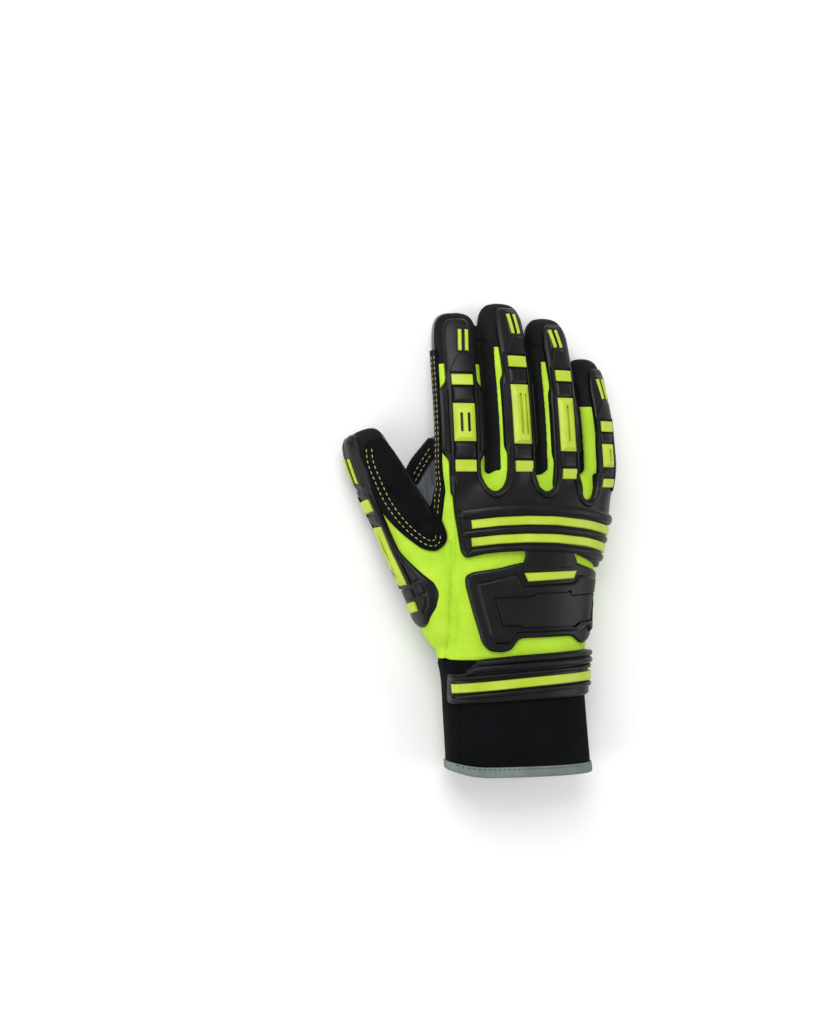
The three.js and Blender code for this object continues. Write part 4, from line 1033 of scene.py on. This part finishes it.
# Wrist guard: a band of black ribs over the seam of the cuff, with one slanted neon stripe between them.
WRIST = [(-47.4, -60), (-39.5, -59.6), (-34.4, -53.5), (-31.2, -51.6), (-9.8, -49.6), (14, -48.4),
         (34, -47.6), (49, -48.2), (50.5, -60), (49.5, -72.4), (33.6, -73.6), (-10, -74.8), (-46.8, -77)]
band = moulding("band", rounded(WRIST, 1.6, 2), 0.1, [(0, 1.7), (0.5, 0.6), (0.6, 0.2)])
parts = [band]
for line, half, top in (
    ([(-30.5, -53.6), (-9.8, -51.8), (14, -50.6), (34, -49.8), (49.5, -50.2)], 1.7, 4.6),
    ([(-37.5, -58.6), (-30, -56.9), (-9.8, -55.6), (14, -54.4), (34, -53.8), (50, -54)], 1.9, 4.8),
    ([(-46, -62.6), (-36, -61.9), (-20.9, -60.6), (6.9, -58.7), (34, -57.4), (50, -57.2)], 1.3, 4.2),
    ([(-46, -73.2), (-20.9, -71), (6.9, -68.8), (34, -67.4), (49.5, -67.3)], 1.5, 4.2),
):
    curve = eased(line, 6)
    parts.append(moulding("rib", rib_outline(curve, half), 1.5,
                          [(0, top - 2.7), (half * 0.25, 0.6), (half * 0.22, 0.35), (half * 0.2, 0.15)]))
paint(wrapped("wrist_guard_rubber", parts, on_hand), black_rubber, "black_rubber", "wrist_guard")
curve = eased([(-46.2, -68.2), (-20.9, -66), (6.9, -63.9), (34, -62.6), (50.2, -62.5)], 6)
stripe = moulding("stripe", rib_outline(curve, 2.5, False), 1.5, [(0, 2.3), (0.5, 0.5)])
paint(wrapped("wrist_stripe_rubber", [stripe], on_hand), neon_rubber, "neon_rubber", "wrist_stripe")


# Thumb guard: the same rubber along the back of the thumb, with a smooth cap at the tip, two fine neon lines,
# two bars, a long grooved block between rails, and flat raised plates on a rounded three-cornered base.
on_thumb_axis = on_digit("thumb")


def on_thumb_back(u, y, height):
    """On the thumb, turned a little further round to its outer side above the knuckle."""
    return on_thumb_axis(u - 3.3 * min(max((y + 8) / 18, 0), 1) * min(max((80 - y) / 20, 0), 1), y, height)


THUMB_GUARD = [(6, 75), (9.6, 71), (11.6, 62), (12.4, 52), (10, 42), (8.6, 30), (7.6, 18), (8.2, 8),
               (11.6, 1), (14.8, -8), (15.2, -15), (13, -23), (5, -32), (-2, -35), (-11, -31), (-12, -10),
               (-10, 8), (-9, 30), (-9.4, 48), (-8.4, 60), (-6.6, 69), (-3, 74)]
parts = [moulding("thumb_base", rounded(THUMB_GUARD, 3, 3), 0.1, [(0, 1.5), (0.6, 0.6), (0.8, 0.25)])]
cap = [(5, 72.6), (8, 69.6), (9.6, 62), (9, 50), (6.6, 44), (-6.6, 44), (-7.2, 50), (-6.8, 60), (-5, 68),
       (-2, 72)]
parts.append(moulding("cap", rounded(cap, 2, 3), 1.8, [(0, 0.7), (0.9, 0.5), (0.9, 0.2)]))
for line in ([(8.3, 40.5), (7.4, 24), (7, 14), (5.6, -9)], [(-8, 39), (-7.8, 22), (-8.6, 8), (-10.2, -12)]):
    parts.append(moulding("rail", rounded(rib_outline(line, 0.9), 0.8, 2), 1.6, [(0, 1.6), (0.35, 0.4)]))
for low, high in ((23.6, 29.2), (39, 43)):
    saddle = [(-6.4, low), (6, low), (6, high), (-6.4, high)]
    parts.append(moulding("saddle", saddle, 1.5, [(0, 0.9), (0.5, 0.5), (0.6, 0.3)]))
for plate in (
        [(8.7, 4), (11, -1), (12.8, -6.6), (8.1, -8.2)],
        [(7.9, -10), (13.3, -8.2), (13.4, -14), (7.4, -16.4)],
        [(7.2, -18.2), (13, -15.8), (11.4, -21.4), (6.6, -26.4)],
        [(-6.4, -13.4), (5.6, -11.8), (5.6, -17.6), (-5.4, -19.2)]):
    parts.append(moulding("base_plate", rounded(plate, 0.8, 2), 1.7, [(0, 1.0), (0.4, 0.7), (0.5, 0.1)]))
paint(wrapped("thumb_guard_rubber", parts, on_thumb_back), black_rubber, "black_rubber", "thumb_guard")
line_steps, bar_steps = [(0, 2.1), (0.3, 0.3)], [(0, 2.1), (0.5, 0.5)]
bar_upper = [(-6.2, 36.4), (6.4, 38.2), (6, 31.8), (-6.4, 29.8)]
bar_lower = [(-5, -21), (4.2, -19.4), (4, -24.6), (-4.8, -26.4)]
block = [(-6, 22), (5.4, 22.8), (2.4, -9.8), (-8.6, -11.2)]
thumb_neon = {
    "thumb_line_a": moulding("line", rib_outline([(3, 61), (2.3, 47.2)], 1.1, False), 1.8, line_steps),
    "thumb_line_b": moulding("line", rib_outline([(-3, 61), (-3.7, 47.2)], 1.1, False), 1.8, line_steps),
    "thumb_bar_upper": moulding("bar", bar_upper, 1.5, bar_steps),
    "thumb_block": moulding("block", block, 1.5, [(0, 1.7), (1.9, 1.2), (0.3, 0.05)]),
    "thumb_bar_lower": moulding("bar", bar_lower, 1.5, bar_steps),
}
cut(thumb_neon["thumb_block"], moulding("slot", rib_outline([(-0.4, 17), (-2.6, -6)], 0.8), 3.2, [(0, 4)]))
for node, form in thumb_neon.items():
    paint(wrapped(node + "_rubber", [form], on_thumb_back, sharp=24), neon_rubber, "neon_rubber", node)


# Suede: a patch over the inner side of the thumb and its web, and a strip along the index finger. Both are
# cut from 1.2 mm suede, laid on the cloth and sewn down with two rows of olive thread.
SUEDE_THICK = 1.2
STRIP_WIDE = 10.4
WEB_PATCH = [(-84, 74), (-76, 65), (-69, 55), (-60, 41.5), (-52, 29), (-48.6, 18.8), (-49, 13.6),
             (-54.5, 8.9), (-62.7, 10), (-72, 16.9), (-79, 24), (-84, 30.6), (-88.5, 38), (-91, 44.3),
             (-95, 54), (-97, 60.2), (-94, 71)]
# suede: black, brushed in clouds, with a nap that takes a faint light at its edges
suede, tree, shader, place = new_material(
    "suede_brushed_black", "#0a0a0b", 0.95, Specular_IOR_Level=0.08, Sheen_Weight=0.04)
fibres = add_node(tree, "ShaderNodeTexNoise", {
    "Vector": place, "Scale": 1900, "Detail": 3, "Roughness": 0.7}).outputs["Fac"]
brushed = add_node(tree, "ShaderNodeTexNoise", {"Vector": place, "Scale": 130, "Detail": 3}).outputs["Fac"]
nap = add_node(tree, "ShaderNodeMix", {"Factor": 0.5, "A": fibres, "B": brushed}).outputs["Result"]
add_node(tree, "ShaderNodeValToRGB", {"Fac": nap}, {"Color": shader.inputs["Base Color"]},
         stops=((0.35, "#040405"), (0.68, "#131315")))
add_node(tree, "ShaderNodeBump", {"Height": nap, "Distance": 0.25 * MM, "Strength": 0.7},
         {"Normal": shader.inputs["Normal"]})
suede_form = copied(skin, "suede_form")
set_places(suede_form, places_of(skin) + normals_of(skin) * SUEDE_THICK * MM)
apply_modifier(suede_form, "REMESH", mode="VOXEL", voxel_size=SKIN_VOXEL, use_smooth_shade=True)
apply_modifier(suede_form, "SMOOTH", factor=0.5, iterations=4)


def sewn_on(name, zone):
    """A piece of suede over the skin, as large as its zone."""
    piece = copied(suede_form, name)
    cut(piece, zone, "INTERSECT")
    cut(piece, skin, "DIFFERENCE", keep=True)
    return piece


patch_outline = rounded(WEB_PATCH, 4, 3)
web_patch = sewn_on("web_patch_suede", prism_form("patch_zone", patch_outline, 13, 60))
paint(web_patch, suede, "black_suede", "web_patch")


def strip_foot(y):
    """Height of the index strip's lower edge at y."""
    return axis_row("index", max(y, CROTCH))[1] - max(0, 40 - y) * 0.12 - 4


strip_rings = []
for y in (16, 30, 42, 52.5, 65, 80, 95, 105, 114, 124):
    low, high = strip_foot(y), strip_foot(y) + STRIP_WIDE
    strip_rings.append([(-57.5, y, low), (-42, y, low), (-42, y, high), (-57.5, y, high)])
index_strip = sewn_on("index_strip_suede", drawn_form("strip_zone", strip_rings))
cut(index_strip, prism_form("patch_room", patch_outline, -10, 60))
paint(index_strip, suede, "black_suede", "index_strip")


# Cuff: a sleeve of black neoprene with a 3 mm wall, closed by flat seams, sewn to the hand at the wrist and
# bound at its mouth with folded grey tape.
CUFF_ROWS = [(0, 50.7, 35.8), (0.2, 48, 35.5), (0.6, 46.5, 37.5), (1, 45.3, 39.7)]
CUFF_WALL = 3.0
# neoprene: black foam faced with a close jersey, faintly speckled with paler fibres
neoprene, tree, shader, place = new_material("neoprene_jersey_faced_black", "#0a0b0c", 0.85,
                                             Specular_IOR_Level=0.08)
wales = add_node(tree, "ShaderNodeTexWave", {"Vector": place, "Scale": WAVE / 0.7},
                 bands_direction="DIAGONAL").outputs["Fac"]
courses = add_node(tree, "ShaderNodeTexWave", {"Vector": place, "Scale": WAVE / 0.6},
                   bands_direction="Y").outputs["Fac"]
jersey = add_node(tree, "ShaderNodeMix", {"Factor": 0.5, "A": wales, "B": courses}).outputs["Result"]
pale_fibres = add_node(tree, "ShaderNodeTexNoise", {
    "Vector": place, "Scale": 700, "Detail": 4, "Roughness": 0.7}).outputs["Fac"]
clouds = add_node(tree, "ShaderNodeTexNoise", {"Vector": place, "Scale": 50}).outputs["Fac"]
specks = add_node(tree, "ShaderNodeMix", {"Factor": 0.3, "A": pale_fibres, "B": clouds}).outputs["Result"]
add_node(tree, "ShaderNodeValToRGB", {"Fac": specks}, {"Color": shader.inputs["Base Color"]},
         stops=((0.42, "#060708"), (0.66, "#101115")))
add_node(tree, "ShaderNodeBump", {"Height": jersey, "Distance": 0.06 * MM, "Strength": 0.7},
         {"Normal": shader.inputs["Normal"]})
# woven tape: pale grey, twilled 0.55 mm apart, with painted shade a little darker between its threads
tape, tree, shader, place = new_material("tape_woven_grey", "#75827f", 0.75, Specular_IOR_Level=0.3)
threads = add_node(tree, "ShaderNodeTexWave", {"Vector": place, "Scale": WAVE / 0.55},
                   bands_direction="DIAGONAL").outputs["Fac"]
wear = add_node(tree, "ShaderNodeTexNoise", {"Vector": place, "Scale": 90, "Detail": 3}).outputs["Fac"]
twill = add_node(tree, "ShaderNodeMix", {"Factor": 0.6, "A": threads, "B": wear}).outputs["Result"]
# painted shade: the colour is darker between the threads, and varies in clouds
add_node(tree, "ShaderNodeValToRGB", {"Fac": twill}, {"Color": shader.inputs["Base Color"]},
         stops=((0.3, "#5c6866"), (0.65, "#7e8a88")))
add_node(tree, "ShaderNodeBump", {"Height": twill, "Distance": 0.08 * MM, "Strength": 0.8},
         {"Normal": shader.inputs["Normal"]})


def cuff_ring(along, grow, count=240):
    """One section of the cuff, grown by grow. Its mouth is a little shorter on the thumb side."""
    table = eased(CUFF_ROWS, 4)
    left, right = (np.interp(along, table[:, 0], table[:, k]) for k in (1, 2))
    centre = ((right - left) / 2, PALM["wrist"] - 0.2 - CUFF_LENGTH * along, (CUFF_LOW + CUFF_HIGH) / 2)
    half_height = (CUFF_HIGH - CUFF_LOW) / 2 + grow
    points = section(centre, (1, 0, 0), (0, 0, 1), (left + right) / 2 + grow, half_height, count, 2.4, 3.2)
    angle = np.arange(count) * 2 * math.pi / count
    fold = 0.35 * np.sin(7 * angle + 3 * along) + 0.25 * np.sin(13 * angle - 4 * along + 1)
    upper = points[:, 2] > 20
    from_seam = np.where(upper, points[:, 0] + 41.4, points[:, 0] - 33 + 4 * along)
    seam = valley(from_seam, 1.1, 1.0)
    middle = np.array([centre[0], 0, centre[2]])
    inward = middle - points
    inward[:, 1] = 0
    inward /= np.linalg.norm(inward, axis=1)[:, None]
    calm = math.sin(math.pi * min(max(along, 0), 1)) * (points[:, 2] > 6)
    points += inward * (fold * 0.5 * calm + seam * (grow > -2))[:, None]
    points[:, 1] += 3.2 * along**4 * np.clip((-points[:, 0] - 26) / 19, 0, 1) ** 2
    return points


def sleeve(name, rings):
    """A ring of wall: sections out and back, joined end to end."""
    form = drawn_form(name, rings)
    bpy.ops.object.mode_set(mode="EDIT")
    mesh = bmesh.from_edit_mesh(form.data)
    for face in mesh.faces:
        face.select_set(len(face.verts) > 8)
    bpy.ops.mesh.delete(type="FACE")
    mesh = bmesh.from_edit_mesh(form.data)
    for edge in mesh.edges:
        edge.select_set(edge.is_boundary)
    bpy.ops.mesh.bridge_edge_loops()
    bpy.ops.mesh.select_all(action="SELECT")
    bpy.ops.mesh.normals_make_consistent(inside=False)
    bpy.ops.object.mode_set(mode="OBJECT")
    bpy.ops.object.shade_smooth_by_angle(angle=math.radians(50))
    return form


outer = [cuff_ring(along, 0.0) for along in np.linspace(0, 0.985, 24)]
outer[0] = cuff_ring(0, -0.8)
inner = [cuff_ring(along, -CUFF_WALL) for along in np.linspace(0.985, 0.02, 10)]
cuff = sleeve("cuff_neoprene", [*outer, *inner])
paint(cuff, neoprene, "black_neoprene", "cuff")
TAPE_FOLD = [(0.908, 0.1), (0.909, 0.7), (0.925, 0.95), (0.95, 1.0), (0.975, 1.0), (0.99, 0.8), (0.998, 0.3),
             (1.0, -1.4), (0.998, -3.4), (0.99, -3.9), (0.95, -4), (0.92, -3.9), (0.915, -3.2)]
tape_rings = [cuff_ring(along, grow) for along, grow in TAPE_FOLD]
binding = sleeve("binding_tape", tape_rings)
paint(binding, tape, "grey_binding", "cuff_binding")


# Stitching: olive polyester thread along the suede and the palm's quilting, green along the back's seams and
# grey round the binding. One stitch is modelled once and copied along every row, half sunk in the cloth.
DOWN, UP, INWARD = (0, 0, -1), (0, 0, 1), (1, 0, 0)


def thread(name, shade, light):
    """Twisted thread with a soft shine, its turns 0.5 mm apart, with painted shade between them."""
    material, tree, shader, place = new_material(name, light, 0.55)
    twist = add_node(tree, "ShaderNodeTexWave", {"Vector": place, "Scale": WAVE / 0.5},
                     bands_direction="DIAGONAL").outputs["Fac"]
    # painted shade: the colour is darker between the turns of the twist
    add_node(tree, "ShaderNodeValToRGB", {"Fac": twist}, {"Color": shader.inputs["Base Color"]},
             stops=((0.2, shade), (0.8, light)))
    add_node(tree, "ShaderNodeBump", {"Height": twist, "Distance": 0.05 * MM, "Strength": 1.0},
             {"Normal": shader.inputs["Normal"]})
    return material


olive_thread = thread("thread_twisted_olive", "#8f9148", "#c2c478")
bpy.ops.object.select_all(action="DESELECT")
bpy.ops.mesh.primitive_uv_sphere_add(segments=6, ring_count=5, radius=1)
one_stitch = bpy.context.object
bpy.ops.object.shade_smooth()


def stitch_row(surface, line, way, pitch=3.2, long=2.3, thick=0.5, sink=0.05):
    """Stitches along a line of points in millimetres, thrown on a surface along way."""
    way = Vector(way)
    hits = []
    for point in close_row(line, pitch):
        hit, normal = surface.ray_cast(Vector(point) * MM - way * 0.06, way, 0.12)[:2]
        hits.append(None if hit is None or abs(normal.dot(way)) < 0.45 else (hit, normal))
    made = []
    for before, after in zip(hits, hits[1:]):
        if before is None or after is None or (after[0] - before[0]).length > 2.2 * pitch * MM:
            continue
        along = (after[0] - before[0]).normalized()
        normal = (before[1] + after[1]).normalized()
        across = normal.cross(along).normalized()
        up = along.cross(across)
        middle = surface.find_nearest((before[0] + after[0]) / 2)[0] - up * sink * MM
        half_long, half_thick = long / 2 * MM, thick / 2 * MM
        turn = Matrix((along * half_long, across * half_thick, up * half_thick)).transposed().to_4x4()
        twin = copied(one_stitch, "stitch")
        twin.data.transform(Matrix.Translation(middle) @ turn)
        made.append(twin)
    return made


def surface_of(*pieces):
    """A surface to sew on, of one or more pieces."""
    whole = joined("sewn_surface", [copied(piece, "sewn") for piece in pieces])
    found = BVHTree.FromObject(whole, bpy.context.evaluated_depsgraph_get())
    bpy.data.objects.remove(whole, do_unlink=True)
    return found


def beside(line, shift):
    """A line moved sideways by shift, to the left of its way."""
    line = np.array(line, float)
    along = np.gradient(line, axis=0)
    along /= np.linalg.norm(along, axis=1)[:, None]
    return line + np.stack([-along[:, 1], along[:, 0]], axis=1) * shift


def lifted(line, height):
    """A flat line raised to a height, to throw its stitches from."""
    return [(x, y, height) for x, y in line]


olive_rows = []
patch_surface = surface_of(web_patch)
strip_surface = surface_of(index_strip)
patch_edge = eased([(-95.2, 67), (-94.6, 60), (-92.8, 54), (-88.7, 44), (-86, 38), (-81.6, 30.6),
                    (-76.6, 24), (-70.4, 17.6), (-62, 11.6), (-55, 10.6), (-50.8, 13.8), (-50.4, 18.4)], 6)
for shift in (1.5, 4.4):
    olive_rows += stitch_row(patch_surface, lifted(beside(patch_edge, shift), 20), DOWN, thick=0.6)
web_edge = eased([(-66.6, 50), (-61, 59.6), (-56, 67.2), (-51.6, 73.6)], 6)
web_strip = sewn_on("web_strip_suede", prism_form("web_zone", [
    *(web_edge[:, :2] + np.array([-6, 2])), *(web_edge[:, :2] + np.array([4.6, -3]))[::-1]], -10, 22))
paint(web_strip, suede, "black_suede")
web_surface = surface_of(web_strip)
for shift in (0.9, 3.4):
    olive_rows += stitch_row(web_surface, lifted(beside(web_edge, -shift), 20), DOWN)
for below in (3.6, 8.4):
    row = []
    for y in (20, 30, 42, 52.5, 65, 80, 95, 105, 114, 121):
        row.append((-60, y, strip_foot(y) + below))
    olive_rows += stitch_row(strip_surface, eased(row, 4), INWARD, thick=0.6)
palm_surface = surface_of(palm)
for line in (*QUILT_LINES, *FINGER_PADS, *HEEL_PADS, THENAR_PAD):
    olive_rows += stitch_row(palm_surface, lifted(line, 5), UP, pitch=2.8, long=2.0)
for line in QUILT_LINES[:3]:
    olive_rows += stitch_row(palm_surface, lifted(beside(line, 2.2), 5), UP, pitch=2.8, long=2.0)
olive_stitching = joined("stitching_olive", olive_rows)
set_places(olive_stitching, np.maximum(places_of(olive_stitching), (-1, -1, 0.02 * MM)))
paint(olive_stitching, olive_thread, "green_cloth")
green_thread = thread("thread_twisted_green", "#6f9c14", "#a5d62a")
back_surface = surface_of(back, thumb_back)
seam_rows = []
thumb_seam = eased([(-48.4, -49), (-47.6, -30), (-45.6, 0), (-45.4, 12), (-46, 30), (-46.4, 46)], 6)
wrist_seam = [(x, -50.6) for x in np.linspace(-50, 32, 60)]
for line in (beside(thumb_seam, -1.1), wrist_seam):
    seam_rows += stitch_row(back_surface, lifted(line, 40), DOWN, pitch=2.2, long=1.5, thick=0.35)
paint(joined("stitching_green", seam_rows), green_thread, "green_cloth")
grey_thread = thread("thread_twisted_grey", "#2a3230", "#3c4644")
tape_surface = surface_of(binding)
ring = cuff_ring(0.935, 0)
over = [(x, y + 0.6, 40) for x, y, z in ring if z > 23 and -44 < x < 37]
below = [(x, y + 0.6, 5) for x, y, z in ring if z < 23 and -44 < x < 37]
tape_rows = stitch_row(tape_surface, over, DOWN, pitch=2.8, long=2.0, thick=0.7)
tape_rows += stitch_row(tape_surface, below, UP, pitch=2.8, long=2.0, thick=0.7)
paint(joined("stitching_grey", tape_rows), grey_thread, "grey_binding")
bpy.data.objects.remove(one_stitch, do_unlink=True)


# Closure tab: a black rubber strap under the cuff, with a double neon rim, a neon bar, a plain pale plate and
# five grip ribs on its free end.
TAB = [(-38.4, -38), (-41, -40.6), (-39.8, -112.8), (-37, -115.6), (-13.6, -115.6), (-10.8, -112.8),
       (-5.6, -40.6), (-8.2, -38)]
TAB_FIELD = [(-36.4, -44.6), (-9.8, -44.6), (-13, -84), (-36, -84)]
TAB_BAR = [(-38, -87.2), (-10.4, -87.2), (-10.6, -88.6), (-38, -88.6)]
TAB_LABEL = [(-32, -46), (-20, -46), (-19, -82), (-31.5, -82)]


def under_cuff(x, y, height):
    """A point under the cuff, height below its cloth, clear of the ground."""
    hit = back_guide.ray_cast(Vector((x, y, -60)) * MM, Vector(UP), 0.12)[0]
    base = CUFF_LOW if hit is None else hit[2] / MM
    return np.array([x, y, max(base - height, 0.06 + 0.02 * (4 - height))])


def shrunk(outline, by):
    """An outline moved inwards."""
    outline = np.array(outline, float)
    along = np.roll(outline, -1, axis=0) - np.roll(outline, 1, axis=0)
    along /= np.linalg.norm(along, axis=1)[:, None]
    return outline + np.stack([-along[:, 1], along[:, 0]], axis=1) * by


def frame_form(name, outer, inner, foot, top):
    """A flat frame between two outlines."""
    form = moulding(name, outer, foot, [(0, top - foot - 0.25), (0.25, 0.25)])
    hole = moulding("hole", inner, foot - 1, [(0, top - foot + 3)])
    cut(form, hole)
    return form


tab_edge = np.array(rounded(TAB, 3, 4))
strap = moulding("strap", shrunk(tab_edge, 0.2), 0.15, [(0, 1.75), (0.3, 0.3)])
strap_parts = [strap, frame_form("lip", shrunk(tab_edge, 1.3), shrunk(tab_edge, 2.0), 1.9, 2.7)]
for y in (-95, -98.6, -102.2, -105.8, -109.4):
    grip = rib_outline([(-33.5, y), (-15.4, y)], 0.9)
    strap_parts.append(moulding("grip", grip, 1.9, [(0, 0.5), (0.35, 0.3)]))
strap_parts.append(moulding("field", TAB_FIELD, 1.9, [(0, 0.35), (0.3, 0.1)]))
paint(wrapped("closure_tab_rubber", strap_parts, under_cuff), black_rubber, "black_rubber", "closure_tab")
rim_parts = [frame_form("rim", tab_edge, shrunk(tab_edge, 1.2), 1.2, 3.2)]
rim_parts.append(frame_form("rim_inner", shrunk(tab_edge, 2.1), shrunk(tab_edge, 2.8), 1.9, 3.0))
rim_parts.append(moulding("rim_bar", TAB_BAR, 1.9, [(0, 0.9), (0.2, 0.2)]))
paint(wrapped("tab_rim_rubber", rim_parts, under_cuff), neon_rubber, "neon_rubber", "tab_rim")
# film of the plate: matt pale grey, with faint clouds and a fine orange peel of 0.7 mm
plate_film, tree, shader, place = new_material("film_matt_pale_grey", "#d9d9d9", 0.5)
clouds = add_node(tree, "ShaderNodeTexNoise", {"Vector": place, "Scale": 60, "Detail": 3}).outputs["Fac"]
add_node(tree, "ShaderNodeValToRGB", {"Fac": clouds}, {"Color": shader.inputs["Base Color"]},
         stops=((0.3, "#cfcfcf"), (0.7, "#dedede")))
peel = add_node(tree, "ShaderNodeTexNoise", {"Vector": place, "Scale": 1500}).outputs["Fac"]
add_node(tree, "ShaderNodeBump", {"Height": peel, "Distance": 0.02 * MM, "Strength": 1.0},
         {"Normal": shader.inputs["Normal"]})
label = moulding("label", rounded(TAB_LABEL, 1, 3), 2, [(0, 0.5), (0.2, 0.15)])
paint(wrapped("tab_label_film", [label], under_cuff), plate_film, "label", "tab_label")


# The helper forms are no part of the glove and are thrown away.
for piece in list(bpy.data.objects):
    if piece.name in ("skin", "shell", "core", "back_zone", "palm_zone", "suede_form"):
        bpy.data.objects.remove(piece, do_unlink=True)
